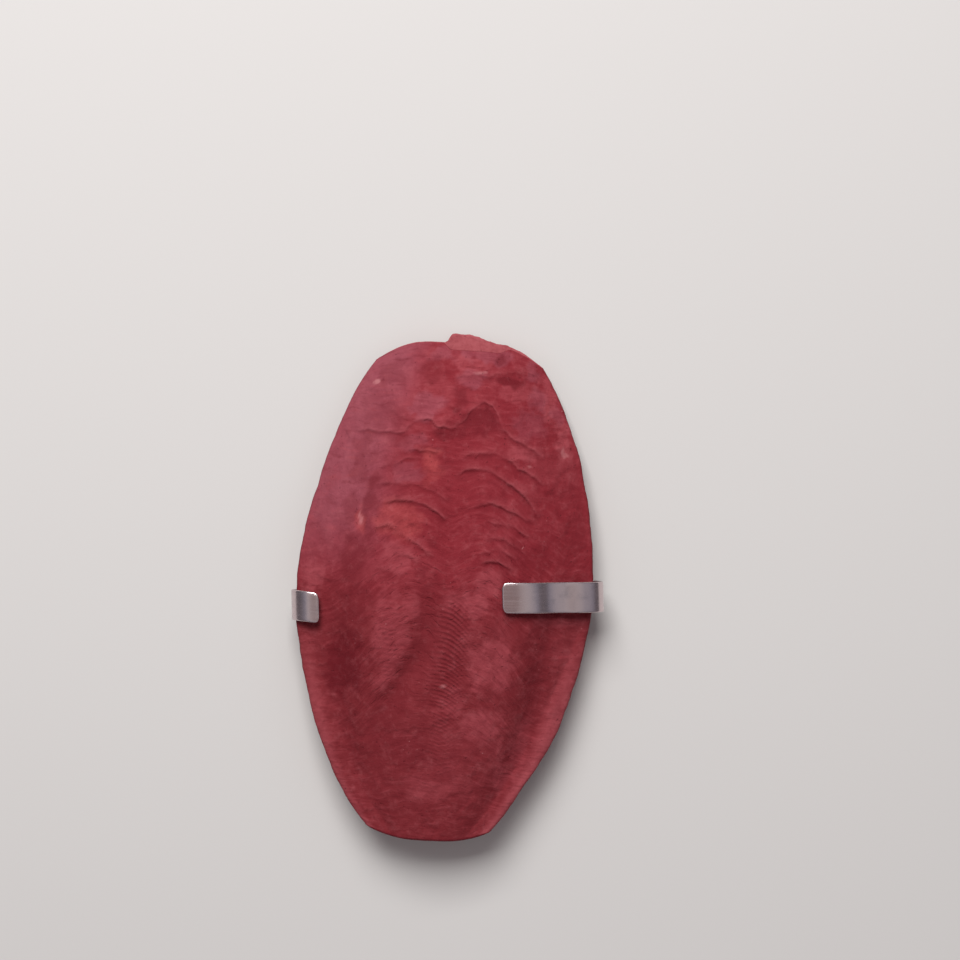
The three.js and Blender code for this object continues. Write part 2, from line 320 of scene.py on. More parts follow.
class Shader:
    """The nodes of one material or world, added by expressions."""

    def __init__(self, tree: bpy.types.NodeTree) -> None:
        """Empties the tree and keeps it."""
        tree.nodes.clear()
        self.tree = tree

    def node(
        self,
        kind: str,
        settings: dict[str, object] | None = None,
        sockets: dict[str, object] | None = None,
    ) -> bpy.types.Node:
        """Adds one node.

        Args:
            kind: The node's type.
            settings: Values of the node itself, set first. "stops" are a ramp's places and colours.
            sockets: Values or links of its inputs, by identifier or name.

        Returns:
            The new node.
        """
        node = self.tree.nodes.new(kind)
        for key, value in (settings or {}).items():
            if key == "stops":
                self._set_stops(node, value)
            else:
                setattr(node, key, value)
        for key, value in (sockets or {}).items():
            known = {socket.identifier: socket for socket in node.inputs}
            socket = known[key] if key in known else node.inputs[key]
            self._feed(socket, value)
        return node

    @staticmethod
    def _set_stops(node: bpy.types.Node, stops: list[tuple[float, Colour]]) -> None:
        """Gives a ramp its stops.

        Args:
            node: The ramp.
            stops: Place and colour of each stop, in order.
        """
        elements = node.color_ramp.elements
        while len(elements) < len(stops):
            elements.new(1.0)
        for element, (place, colour) in zip(elements, stops):
            element.position = place
            element.color = (*colour, 1.0)

    def _feed(self, socket: bpy.types.NodeSocket, value: object) -> None:
        """Links a socket or sets its value.

        Args:
            socket: The input to fill.
            value: A wire, an output socket, a number, a vector or a colour.
        """
        if isinstance(value, Wire):
            value = value.socket
        if isinstance(value, bpy.types.NodeSocket):
            self.tree.links.new(value, socket)
        elif socket.type == "RGBA":
            socket.default_value = (*value, 1.0)
        else:
            socket.default_value = value

    def math(self, operation: Operation, first: Wire | float, second: Wire | float = 0.0) -> Wire:
        """Adds one Math node.

        Args:
            operation: What it does.
            first: Its first number.
            second: Its second number, where it takes two.

        Returns:
            Its result.
        """
        sockets = {"Value": first, "Value_001": second}
        node = self.node("ShaderNodeMath", {"operation": operation.value}, sockets)
        return Wire(self, node.outputs["Value"])

    def mix(self, share: Wire | float, under: object, over: object) -> bpy.types.NodeSocket:
        """Lays one colour over another.

        Args:
            share: How much of the upper colour shows.
            under: The lower colour or its socket.
            over: The upper colour or its socket.

        Returns:
            The socket of the mixed colour.
        """
        settings = {"data_type": "RGBA", "blend_type": "MIX", "clamp_factor": True}
        sockets = {"Factor_Float": share, "A_Color": under, "B_Color": over}
        outputs = self.node("ShaderNodeMix", settings, sockets).outputs
        return next(socket for socket in outputs if socket.identifier == "Result_Color")

    def wash(
        self, under: object, shade: Colour, mask: str, noise: Wire, share: Span
    ) -> bpy.types.NodeSocket:
        """Lays a shade where a mask is, broken up by a noise.

        Args:
            under: The colour below or its socket.
            shade: The shade.
            mask: Name of the mask.
            noise: The noise.
            share: How much shows whatever the noise, and how much the noise adds.

        Returns:
            The socket of the mixed colour.
        """
        base, gain = share
        return self.mix(self.attribute(mask) * (base + gain * noise), under, shade)

    def fleck(self, under: object, shade: Colour, noise: Wire, levels: Levels) -> bpy.types.NodeSocket:
        """Lays a shade where a noise passes a level.

        Args:
            under: The colour below or its socket.
            shade: The shade.
            noise: The noise.
            levels: Where the shade begins, where it is full, and how much of it then shows.

        Returns:
            The socket of the mixed colour.
        """
        begin, full, share = levels
        return self.mix(self.ease(noise, begin, full) * share, under, shade)

    def attribute(self, name: str) -> Wire:
        """A number that the mesh carries at its corners."""
        node = self.node("ShaderNodeAttribute", {"attribute_name": name})
        return Wire(self, node.outputs["Fac"])

    def object_place(self) -> bpy.types.NodeSocket:
        """The place on the piece, in metres."""
        return self.node("ShaderNodeTexCoord").outputs["Object"]

    def noise(
        self,
        place: bpy.types.NodeSocket,
        size: float,
        detail: float,
        seed: float,
        harshness: float = 0.5,
    ) -> Wire:
        """Cloudy noise from 0 to 1.

        Args:
            place: Where it is read.
            size: Breadth of its clouds, in millimetres.
            detail: How many finer layers it has.
            seed: Picks one pattern among many.
            harshness: How strong each finer layer is beside the last.

        Returns:
            The noise.
        """
        sockets = {
            "Vector": place,
            "W": seed,
            "Scale": 1.0 / (size * MM),
            "Detail": detail,
            "Roughness": harshness,
        }
        node = self.node("ShaderNodeTexNoise", {"noise_dimensions": "4D"}, sockets)
        return Wire(self, node.outputs["Fac"])

    def ease(self, value: Wire, low: float, high: float) -> Wire:
        """Eases a number from 0 to 1 as it goes from low to high.

        Args:
            value: The number.
            low: Where the rise begins.
            high: Where the rise ends.

        Returns:
            The eased number.
        """
        settings = {"interpolation_type": "SMOOTHSTEP"}
        sockets = {"Value": value, "From Min": low, "From Max": high}
        return Wire(self, self.node("ShaderNodeMapRange", settings, sockets).outputs["Result"])

    def surface(self, sockets: dict[str, object]) -> None:
        """Ends a material in one principled surface with the given sockets."""
        shade = self.node("ShaderNodeBsdfPrincipled", None, sockets)
        self.node("ShaderNodeOutputMaterial", None, {"Surface": shade.outputs["BSDF"]})


def new_material(name: str) -> tuple[bpy.types.Material, Shader]:
    """Starts a node material.

    Args:
        name: The material's name.

    Returns:
        The material and the shader that fills it.
    """
    material = bpy.data.materials.new(name)
    material.use_nodes = True
    return material, Shader(material.node_tree)


class Lay(Enum):
    """How a noise lies on the bone: even, or drawn out across it along the plates' edges."""

    EVEN = "even"
    LONG = "long"
    SHORT = "short"


@dataclass(frozen=True)
class Cloud:
    """One noise of a finish: its name, breadth, finer layers, pattern, lay and harshness."""

    name: str
    size: float
    detail: float
    seed: float
    lay: Lay = Lay.EVEN
    harshness: float = 0.5


@dataclass(frozen=True)
class DyedChalk:
    """Chalky bone steeped in red dye: deeper and paler in patches, paler where the surface is worn.

    Shade is painted into its colour in grooves, cracks, pores and below each ledge, with a painted highlight
    along each ledge crest and a painted lilac reflection over the left flank.
    """

    dye: Colour = tint(124, 31, 40)
    dull: Colour = tint(116, 34, 40)
    rose: Colour = tint(152, 64, 71)
    # Lilac patches, also laid as a painted reflection over the left flank.
    lilac: Colour = tint(146, 76, 88)
    pale: Colour = tint(172, 92, 97)
    # Deep dye, also laid as painted shade in grooves, cracks, pores and below each ledge.
    pooled: Colour = tint(98, 15, 25)
    salmon: Colour = tint(162, 65, 66)
    speck: Colour = tint(192, 126, 128)
    roughness: float = 0.85
    roughness_range: Span = (-0.1, 0.2)
    specular: float = 0.2

    clouds: tuple[Cloud, ...] = (
        Cloud("blotch", 9.0, 6.0, 1.0, harshness=0.6),
        Cloud("mottle", 1.7, 8.0, 2.0, harshness=0.68),
        Cloud("streak", 0.8, 6.0, 3.0, Lay.LONG, 0.62),
        Cloud("cracks", 0.9, 2.0, 7.0, Lay.SHORT),
        Cloud("pores", 0.55, 2.0, 4.0),
        Cloud("dust", 0.8, 1.0, 5.0),
        Cloud("grain", 0.4, 3.0, 6.0),
    )
    long_stretch: float = 0.18
    short_stretch: float = 0.4
    stria_spacing: float = 0.76
    stria_levels: Span = (0.65, 1.05)
    crack_levels: Span = (0.46, 0.24)
    pore_levels: Span = (0.22, 0.34)

    mottle_height: float = 0.22
    grain_height: float = 0.05
    streak_height: float = 0.12
    calm_height: float = 0.09
    stria_height: float = 0.045
    crack_height: float = 0.12
    pore_height: float = 0.1

    rosy_share: Levels = (0.1, 0.6, 1.0)
    # The lilac wash covers lilac patches and a painted reflection over the left flank.
    lilac_and_sheen_share: Span = (0.1, 1.3)
    chip_share: Span = (0.1, 1.2)
    # The deep wash covers deep patches and painted shade in the grooves and below each ledge.
    deep_dye_and_shade_share: Span = (0.4, 1.0)
    # The worn wash covers worn rims and edges and a painted highlight along each ledge crest.
    wear_and_highlight_share: Span = (0.2, 1.2)
    bare_share: Span = (0.1, 0.9)
    # Painted shade in cracks and between the fine lines.
    groove_shade_share: float = 0.35
    streak_share: float = 0.6
    calm_share: float = 0.45
    pale_streaks: Span = (0.48, 0.78)
    deep_streaks: Span = (0.52, 0.22)
    pale_blotches: Levels = (0.45, 0.8, 0.4)
    pale_mottles: Levels = (0.47, 0.87, 0.4)
    deep_mottles: Levels = (0.55, 0.15, 0.45)
    # Painted shade in the pores' pits.
    painted_pore_shade: Levels = (0.34, 0.22, 0.4)
    pale_dust: Levels = (0.75, 0.82, 0.4)

    def colour(self, shader: Shader, clouds: dict[str, Wire], groove: Wire) -> bpy.types.NodeSocket:
        """Lays the dye's shades over each other.

        Args:
            shader: The shader to add them to.
            clouds: The noises that break them up.
            groove: How deep each place lies in cracks and between the fine lines, where shade is painted.

        Returns:
            The socket of the colour.
        """
        blotch, mottle, streak = clouds["blotch"], clouds["mottle"], clouds["streak"]
        base, blotchy, streaky = self.rosy_share
        rosy = shader.attribute("rosy") * (base + blotchy * blotch + streaky * streak)
        lively = self.streak_share - self.calm_share * shader.attribute("calm")
        colour = shader.mix(shader.attribute("rear"), self.dye, self.dull)
        colour = shader.mix(rosy, colour, self.rose)
        # Lilac patches, and a painted lilac reflection over the left flank.
        colour = shader.wash(colour, self.lilac, "haze", blotch, self.lilac_and_sheen_share)
        colour = shader.fleck(colour, self.rose, blotch, self.pale_blotches)
        colour = shader.mix(shader.ease(streak, *self.pale_streaks) * lively, colour, self.rose)
        colour = shader.mix(shader.ease(streak, *self.deep_streaks) * lively, colour, self.pooled)
        colour = shader.wash(colour, self.salmon, "chip", mottle, self.chip_share)
        # Deep patches, with painted shade in the grooves and below each ledge.
        colour = shader.wash(colour, self.pooled, "pooled", mottle, self.deep_dye_and_shade_share)
        # Worn pale rims and edges, with a painted highlight along each ledge crest.
        colour = shader.wash(colour, self.pale, "worn", mottle, self.wear_and_highlight_share)
        # Painted shade in cracks and between the fine lines.
        colour = shader.mix(groove * self.groove_shade_share, colour, self.pooled)
        colour = shader.fleck(colour, self.pale, mottle, self.pale_mottles)
        colour = shader.fleck(colour, self.pooled, mottle, self.deep_mottles)
        # Painted shade in the pores' pits.
        colour = shader.fleck(colour, self.pooled, clouds["pores"], self.painted_pore_shade)
        colour = shader.wash(colour, self.speck, "bare", mottle, self.bare_share)
        return shader.fleck(colour, self.speck, clouds["dust"], self.pale_dust)

    def material(self) -> bpy.types.Material:
        """Builds the finish.

        Returns:
            A material that reads the bone's masks and Object coordinates.
        """
        material, shader = new_material("dyed_chalk")
        even = shader.object_place()
        x = Wire(shader, shader.node("ShaderNodeSeparateXYZ", None, {"Vector": even}).outputs["X"])
        along = shader.attribute("place") * MM
        places = {Lay.EVEN: even}
        for lay, stretch in ((Lay.LONG, self.long_stretch), (Lay.SHORT, self.short_stretch)):
            sockets = {"X": x * stretch, "Y": along}
            places[lay] = shader.node("ShaderNodeCombineXYZ", None, sockets).outputs["Vector"]
        clouds = {}
        for cloud in self.clouds:
            place = places[cloud.lay]
            clouds[cloud.name] = shader.noise(place, cloud.size, cloud.detail, cloud.seed, cloud.harshness)
        lines = shader.ease(clouds["blotch"] + clouds["streak"], *self.stria_levels)
        striated = shader.attribute("striated") * lines
        wave = shader.math(Operation.SINE, shader.attribute("stria") * (2.0 * math.pi / self.stria_spacing))
        cracked = shader.attribute("scaly") * shader.ease(clouds["cracks"], *self.crack_levels)
        height = (
            self.mottle_height * clouds["mottle"]
            - self.crack_height * cracked
            + self.grain_height * clouds["grain"]
            + (self.streak_height - self.calm_height * shader.attribute("calm")) * clouds["streak"]
            + self.stria_height * wave * striated
            + self.pore_height * shader.ease(clouds["pores"], *self.pore_levels)
        )
        bump = shader.node("ShaderNodeBump", None, {"Strength": 1.0, "Distance": MM, "Height": height})
        smoother, rougher = self.roughness_range
        shader.surface({
            # The last argument darkens cracks and the lows between fine lines: painted shade.
            "Base Color": self.colour(shader, clouds, striated * (0.5 - 0.5 * wave) + cracked),
            "Roughness": self.roughness + smoother + rougher * clouds["mottle"],
            "Specular IOR Level": self.specular,
            "Normal": bump.outputs["Normal"],
        })
        return material


@dataclass(frozen=True)
class RolledAluminium:
    """Soft aluminium strip: bright rolled face with fine lines along it and a few handling dents."""

    metal: Colour = (0.65, 0.54, 0.55)
    shade: Colour = (0.52, 0.44, 0.46)
    roughness: float = 0.2
    roughness_range: Levels = (-0.08, 0.16, 0.1)
    stain_levels: Span = (0.45, 0.75)
    line_size: float = 0.35
    line_stretch: float = 40.0
    line_height: float = 0.04
    dent_size: float = 5.0
    dent_height: float = 0.1
    stain_size: float = 2.0
    bump_strength: float = 0.6

    def material(self) -> bpy.types.Material:
        """Builds the finish.

        Returns:
            A material that reads the strip's own map, along and across it, and Object coordinates.
        """
        material, shader = new_material("rolled_aluminium")
        strip = shader.node("ShaderNodeUVMap", {"uv_map": "strip"}).outputs["UV"]
        scaling = {"Vector": strip, "Scale": (1.0 / self.line_stretch, 1.0, 1.0)}
        stretched = shader.node("ShaderNodeMapping", None, scaling).outputs["Vector"]
        place = shader.object_place()
        lines = shader.noise(stretched, self.line_size, 3.0, 1.0)
        dents = shader.noise(place, self.dent_size, 1.0, 2.0)
        stain = shader.noise(place, self.stain_size, 4.0, 3.0)

        height = self.dent_height * (dents + self.line_height * lines)
        sockets = {"Strength": self.bump_strength, "Distance": MM, "Height": height}
        smoother, lined, stained = self.roughness_range
        shader.surface({
            "Base Color": shader.mix(shader.ease(stain, *self.stain_levels), self.metal, self.shade),
            "Metallic": 1.0,
            "Roughness": self.roughness + smoother + lined * lines + stained * stain,
            "Normal": shader.node("ShaderNodeBump", None, sockets).outputs["Normal"],
        })
        return material


@dataclass(frozen=True)
class Dent:
    """A flattened stretch of one flank: its side, depth, middle along the bone and half breadth."""

    side: float
    depth: float
    y: float
    breadth: float


@dataclass(frozen=True)
class BoneForm:
    """Smooth form of the bone: an oval boat with a flat brim, a domed belly and an arched back.

    Sizes are in millimetres, from a point on the resting surface below the widest place. Shares run
    across the bone from -1 at its left rim to 1 at its right.
    """

    half_width: float = 29.5
    lean: float = 0.01
    dents: tuple[Dent, ...] = (Dent(-1.0, 0.8, 24.0, 13.0), Dent(1.0, 0.9, -39.5, 6.0))
    dent_power: int = 3
    rear_end: float = -49.5
    rear_reach: float = 53.0
    rear_power: float = 1.65
    rear_rounding: float = 1.8
    rear_power_across: float = 3.6
    front_end: float = 48.4
    front_reach: float = 55.1
    front_power: float = 1.84
    front_rounding: float = 4.0
    front_power_across: float = 5.5
    end_blend: Span = (8.0, 12.0)

    rim_thickness: float = 2.2
    rim_power: int = 30
    back_radius: float = 75.0
    back_power: float = 2.1
    keel_radius: float = 290.0
    keel_touch: float = 22.0
    belly_rise: float = 8.6
    belly_crest: float = 14.0
    rear_fall: float = 0.85
    rear_fall_power: float = 1.6
    front_fall: float = 0.75
    front_fall_power: int = 2
    dome_power: float = 2.9
    dome_softness: float = 1.3
    brim_front: float = 1.0
    brim_rear: float = 4.5
    brim_blend: Span = (-5.0, 30.0)
    brim_limit: float = 3.0

    grooves_from: Span = (-4.0, 8.0)
    grooves_to: Span = (30.0, 45.0)
    sulcus_depth: float = 1.1
    sulcus_breadth: float = 2.6
    sulcus_x: float = -2.4
    sulcus_drift: float = -8.5
    sulcus_drift_over: Span = (7.0, 28.0)
    flank_depth: float = 0.8
    flank_breadth: float = 2.6
    flank_share: float = 0.72
    valley_depth: float = 0.6
    valley_breadth: float = 3.0
    valley_x: float = 1.0
    valley_from: Span = (2.0, 12.0)
    valley_to: Span = (26.0, 34.0)

    first_ledge: float = 30.5
    arch_drop: float = 12.0
    arch_shoulder: Span = (0.2, 0.85)
    arch_from: Span = (-47.5, -10.0)
    arch_to: Span = (12.0, 31.5)
    arch_notch: float = 2.2
    arch_notch_breadth: float = 0.1
    bite_height: float = 4.6
    bite_x: float = 7.0
    bite_breadth: float = 4.2
    bite_length: float = 7.0

    def breadth(self, y: np.ndarray) -> np.ndarray:
        """Half the breadth at places along the bone.

        Args:
            y: Places along the bone.

        Returns:
            The half width times the root of 1 less a power of the share of the way to either end.
        """
        reach = np.where(y < 0, self.rear_reach, self.front_reach)
        power = np.where(y < 0, self.rear_power, self.front_power)
        return self.half_width * np.sqrt(1.0 - (np.abs(y) / reach) ** power)

    def side(self, across: np.ndarray, y: np.ndarray) -> np.ndarray:
        """Place across the bone of a share, on a middle line that leans, with the flanks flattened.

        Args:
            across: Shares across the bone.
            y: Places along the bone.

        Returns:
            Places across.
        """
        x = self.lean * y + across * self.breadth(y)
        for dent in self.dents:
            share = np.clip(dent.side * across, 0.0, 1.0) ** self.dent_power
            x = x - dent.side * dent.depth * hump(y - dent.y, dent.breadth) * share
        return x

    def back_depth(self, y: np.ndarray) -> np.ndarray:
        """How far the back's middle line hangs below the rim, from an arc across the bone."""
        return self.breadth(y) ** 2 / (2.0 * self.back_radius)

    def rim_height(self, y: np.ndarray) -> np.ndarray:
        """Height of the middle of the rim: the keel's long arc, the back's depth and half the rim."""
        keel = (y - self.keel_touch) ** 2 / (2.0 * self.keel_radius)
        return keel + self.back_depth(y) + self.rim_thickness / 2.0

    def rim_half(self, across: np.ndarray) -> np.ndarray:
        """Half the rim's thickness, rounded off at its very edge."""
        return self.rim_thickness / 2.0 * np.sqrt(1.0 - np.abs(across) ** self.rim_power)

    def rise(self, y: np.ndarray) -> np.ndarray:
        """Rise of the belly's middle above the rim.

        Args:
            y: Places along the bone.

        Returns:
            The full rise at the crest, less a power of the share of the way to either end.
        """
        to_front = np.clip((y - self.belly_crest) / (self.front_end - self.belly_crest), 0.0, 1.0)
        to_rear = np.clip((self.belly_crest - y) / (self.belly_crest - self.rear_end), 0.0, 1.0)
        front = self.front_fall * to_front**self.front_fall_power
        rear = self.rear_fall * to_rear**self.rear_fall_power
        return self.belly_rise * (1.0 - front - rear)

    def rear_part(self, y: np.ndarray) -> np.ndarray:
        """1 along the rear half, where the grooves are, easing to 0 at its ends."""
        return smoothstep(-y, *self.grooves_from) * (1.0 - smoothstep(-y, *self.grooves_to))

    def sulcus(self, x: np.ndarray, y: np.ndarray) -> np.ndarray:
        """1 along the middle of the rear groove, which drifts to the left as it runs back."""
        middle = self.sulcus_x + self.sulcus_drift * smoothstep(-y, *self.sulcus_drift_over)
        return self.rear_part(y) * hump(x - middle, self.sulcus_breadth)

    def flank(self, across: np.ndarray, y: np.ndarray) -> np.ndarray:
        """1 along the middle of the grooves that flank the ridged part."""
        inward = (np.abs(across) - self.flank_share) * self.breadth(y)
        return self.rear_part(y) * hump(inward, self.flank_breadth)

    def valley(self, x: np.ndarray, y: np.ndarray) -> np.ndarray:
        """1 along the middle of the valley between the two front lobes."""
        front = smoothstep(y, *self.valley_from) * (1.0 - smoothstep(y, *self.valley_to))
        return front * hump(x - self.valley_x, self.valley_breadth)

    def belly_height(self, across: np.ndarray, x: np.ndarray, y: np.ndarray) -> np.ndarray:
        """Height of the smooth belly: a dome inside a flat brim, less the three hollows.

        Args:
            across: Shares across the bone.
            x: Places across.
            y: Places along.

        Returns:
            Heights above the resting surface.
        """
        half = self.breadth(y)
        brim = self.brim_front + (self.brim_rear - self.brim_front) * smoothstep(-y, *self.brim_blend)
        dome_half = half - np.minimum(brim, half / self.brim_limit)
        to_brim = np.clip(np.abs(across) * half / dome_half, 0.0, 1.0)
        dome = (1.0 - to_brim**self.dome_power) ** self.dome_softness
        hollows = (
            self.sulcus_depth * self.sulcus(x, y)
            + self.flank_depth * self.flank(across, y)
            + self.valley_depth * self.valley(x, y)
        )
        return self.rim_height(y) + self.rim_half(across) + self.rise(y) * dome - hollows

    def back_height(self, across: np.ndarray, y: np.ndarray) -> np.ndarray:
        """Height of the smooth back: an arc across the bone, below the rim."""
        arc = self.back_depth(y) * (1.0 - np.abs(across) ** self.back_power)
        return self.rim_height(y) - self.rim_half(across) - arc

    def end_rounding(self, along: np.ndarray, across: np.ndarray) -> np.ndarray:
        """How far the two ends stand back towards their corners, easing to nothing inside."""
        rear_blend, front_blend = self.end_blend
        rear = smoothstep(-along, -self.rear_end - rear_blend, -self.rear_end) * self.rear_rounding
        front = smoothstep(along, self.front_end - front_blend, self.front_end) * self.front_rounding
        across = np.abs(across)
        return rear * across**self.rear_power_across - front * across**self.front_power_across

    def plate_line(self, along: np.ndarray, across: np.ndarray) -> np.ndarray:
        """Place along the bone of a line that follows the plates' edges.

        Args:
            along: Where the line crosses the lobes.
            across: Shares across the bone.

        Returns:
            Places that sweep back from the lobes to the rims, dip between the lobes, and rise at the
            bite in the newest plate's edge.
        """
        sweep = smoothstep(along, *self.arch_from) * (1.0 - smoothstep(along, *self.arch_to))
        middle = self.valley_x / self.half_width
        dip = sweep * self.arch_notch * hump(across - middle, self.arch_notch_breadth)
        back = sweep * self.arch_drop * smoothstep(np.abs(across), *self.arch_shoulder)
        return along - back - dip + self.bite(along, across)

    def bite(self, along: np.ndarray, across: np.ndarray) -> np.ndarray:
        """How far forward the lines run round the bite in the newest plate's edge."""
        reach = self.bite_height * hump(along - self.first_ledge, self.bite_length)
        return reach * hump(across * self.half_width - self.bite_x, self.bite_breadth)


@dataclass(frozen=True)
class Ledge:
    """Broken edge of one plate: points across and along it from left to right, and its height.

    The foot is how far behind it the plate dips and its painted shade reaches, the jag how far it
    wanders from its smooth line, and the tilt how much higher its right end is than its left, as a
    share of its height.
    """

    points: tuple[Span, ...]
    height: float
    foot: float = 1.0
    jag: float = 0.45
    tilt: float = 0.0


@dataclass(frozen=True)
class Patch:
    """A ragged patch of another shade: middle across and along, two half breadths and strength."""

    x: float
    y: float
    breadth: float
    length: float
    strength: float


def patch_rows(*rows: tuple[float, float, float, float, float]) -> tuple[Patch, ...]:
    """Patches from rows of their five numbers."""
    return tuple(Patch(*row) for row in rows)


@dataclass(frozen=True)
class PlateRelief:
    """Broken edges of the overlapping plates, which face the rear. Sizes are in millimetres."""

    newest_ledges: tuple[Ledge, ...] = (
        Ledge(
            (
                (-18.4, 30.2), (-14.4, 30.0), (-11.0, 29.9), (-9.5, 30.3), (-8.3, 31.3), (-7.0, 32.4),
                (-5.6, 32.9), (-4.2, 32.6), (-3.2, 31.6), (-1.2, 31.2), (0.6, 31.4),
            ),
            0.42,
            1.3,
            0.5,
        ),
        Ledge(
            (
                (0.9, 31.6), (2.5, 33.5), (3.8, 35.6), (4.5, 36.2), (5.9, 36.4), (7.3, 36.3), (8.3, 34.6),
                (9.2, 32.9), (10.2, 31.2),
            ),
            0.32,
            2.4,
            0.8,
        ),
        Ledge(((10.0, 31.2), (12.7, 29.5), (15.7, 28.0), (18.1, 26.5)), 0.6, 1.2, 0.5),
    )
    right_ledges: tuple[Ledge, ...] = (
        Ledge(((-0.2, 41.5), (3.8, 42.3), (6.8, 41.8), (8.7, 42.7), (13.6, 43.0)), 0.4, 1.3),
        Ledge(
            ((2.6, 25.9), (5.6, 26.5), (9.4, 26.3), (11.8, 25.1), (13.2, 24.1), (16.6, 22.4), (17.8, 21.2)),
            0.6,
            tilt=0.8,
        ),
        Ledge(
            (
                (2.0, 22.2), (3.1, 23.2), (5.4, 23.5), (7.8, 23.2), (10.5, 21.6), (13.2, 20.0), (15.7, 17.5),
                (17.3, 15.1),
            ),
            0.6,
            tilt=0.6,
        ),
        Ledge(((4.2, 16.0), (7.7, 16.9), (11.1, 16.1), (14.2, 14.7), (15.6, 14.0)), 0.6, tilt=0.6),
        Ledge(((8.3, 13.4), (12.3, 12.8), (15.5, 10.8)), 0.6, tilt=0.5),
        Ledge(((5.5, 9.8), (8.5, 10.3), (11.5, 10.0), (14.9, 7.8)), 0.3),
        Ledge(((6.6, 7.2), (9.0, 7.9), (11.2, 7.8), (13.6, 6.4)), 0.3),
        Ledge(((7.2, 5.2), (9.7, 5.9), (12.4, 4.5)), 0.4),
    )
    left_ledges: tuple[Ledge, ...] = (
        Ledge(((-7.6, 26.6), (-5.0, 26.4), (-2.2, 26.4)), 0.5),
        Ledge(((-17.4, 18.4), (-14.0, 22.5), (-9.8, 24.5), (-6.5, 25.0)), 0.25, 2.0, 0.9),
        Ledge(((-13.3, 19.6), (-9.9, 19.9), (-6.3, 19.8), (-2.3, 18.4), (-0.6, 17.3)), 0.35),
        Ledge(((-12.3, 16.5), (-9.7, 16.8), (-5.8, 16.4), (-2.1, 14.8), (-0.6, 13.7)), 0.6),
        Ledge(((-13.8, 11.2), (-11.5, 11.6), (-9.8, 11.3)), 0.4),
        Ledge(((-9.4, 10.3), (-6.3, 8.8), (-3.2, 6.6)), 0.35),
        Ledge(((-9.2, 6.3), (-7.2, 6.1), (-5.5, 5.1)), 0.4),
        Ledge(((-13.8, 3.5), (-11.3, 3.1), (-8.9, 2.3)), 0.3),
    )
    taper: float = 1.6
    worn_width: float = 0.35
    plate_reach: float = 3.0
    jag_size: float = 1.8
    jag_stretch: float = 0.5
    curve_steps: int = 80
    break_size: float = 6.0
    break_stretch: float = 0.4
    break_apart: float = 57.0
    unbroken: float = 0.85
    break_range: Span = (0.2, 1.3)
    plain_height: float = 0.4
    plain_limit: float = 1.2
    worn_power: int = 6
    shade_power: float = 1.6

    def ahead(self, ledge: Ledge, number: int, x: np.ndarray, y: np.ndarray) -> np.ndarray:
        """How far places lie ahead of a ledge, along the bone: its smooth line is jagged by small ripples.

        Args:
            ledge: The ledge.
            number: Its number, which picks its ripples.
            x: Places across.
            y: Places along.

        Returns:
            Distances, below 0 behind the ledge.
        """
        curve = smooth_curve(np.array(ledge.points), self.curve_steps)
        line = np.interp(x, curve[:, 0], curve[:, 1])
        jagged = rough(x, self.jag_stretch * y, self.jag_size, Seed.JAG + number, 3)
        return y - line - ledge.jag * jagged

    def height(self, ledge: Ledge, number: int, x: np.ndarray, y: np.ndarray) -> np.ndarray:
        """Height of a ledge: it tapers off at both ends and is broken away along parts of its length.

        Args:
            ledge: The ledge.
            number: Its number, which picks where it is broken.
            x: Places across.
            y: Places along.

        Returns:
            The heights.
        """
        start, stop = ledge.points[0][0], ledge.points[-1][0]
        begun = smoothstep(x, start - self.taper, start + self.taper)
        ended = smoothstep(x, stop - self.taper, stop + self.taper)
        apart = self.break_apart * number
        broken = rough(x + apart, self.break_stretch * y, self.break_size, Seed.BREAK, 3)
        whole = np.clip(self.unbroken + broken, *self.break_range)
        leaning = 1.0 + ledge.tilt * (np.clip((x - start) / (stop - start), 0.0, 1.0) - 0.5)
        return ledge.height * leaning * begun * (1.0 - ended) * whole

    def build(self, x: np.ndarray, y: np.ndarray) -> tuple[np.ndarray, np.ndarray, np.ndarray]:
        """Adds up all the ledges: half of each stands up at its edge and half dips at its foot.

        Args:
            x: Places across.
            y: Places along.

        Returns:
            Heights, shares of worn crest with a painted highlight, and shares of foot with painted shade.
        """
        heights, worn, shaded = np.zeros_like(x), np.zeros_like(x), np.zeros_like(x)
        for number, ledge in enumerate((*self.newest_ledges, *self.right_ledges, *self.left_ledges)):
            ahead, height = self.ahead(ledge, number, x, y), self.height(ledge, number, x, y)
            top = smoothstep(ahead, -self.worn_width, self.worn_width)
            plate = top * np.exp(-np.maximum(ahead, 0.0) / self.plate_reach)
            foot = (1.0 - top) * np.exp(np.minimum(ahead, 0.0) / ledge.foot)
            heights += 0.5 * height * (plate - foot)
            plain = np.clip(height / self.plain_height, 0.0, self.plain_limit)
            # Each crest carries wear and a painted highlight.
            worn = np.maximum(worn, plain * plate**self.worn_power)
            # Each foot carries painted shade.
            shaded = np.maximum(shaded, plain * foot**self.shade_power)
        return heights, worn, shaded


@dataclass(frozen=True)
class Flakes:
    """Thin flakes with ragged edges that cover parts of the belly, in two layers."""

    tear: float = 0.12
    tear_size: float = 2.0
    lower_size: float = 11.0
    lower_edge: Span = (0.02, 0.1)
    lower_share: float = 0.6
    upper_size: float = 8.0
    upper_squeeze: float = 1.4
    upper_edge: Span = (0.1, 0.18)
    upper_share: float = 0.4

    def cover(self, x: np.ndarray, y: np.ndarray) -> np.ndarray:
        """How far flakes cover each place.

        Args:
            x: Places across.
            y: Places along.

        Returns:
            Shares from 0 to 1: each layer lies where a noise with a torn edge passes a level.
        """
        torn = self.tear * rough(x, y, self.tear_size, Seed.FLAKE_TEAR, 4)
        low = rough(x, y, self.lower_size, Seed.LOWER_FLAKES, 3)
        high = rough(x, self.upper_squeeze * y, self.upper_size, Seed.UPPER_FLAKES, 3)
        lower = smoothstep(low + torn, *self.lower_edge)
        upper = smoothstep(high + torn, *self.upper_edge)
        return self.lower_share * lower + self.upper_share * upper


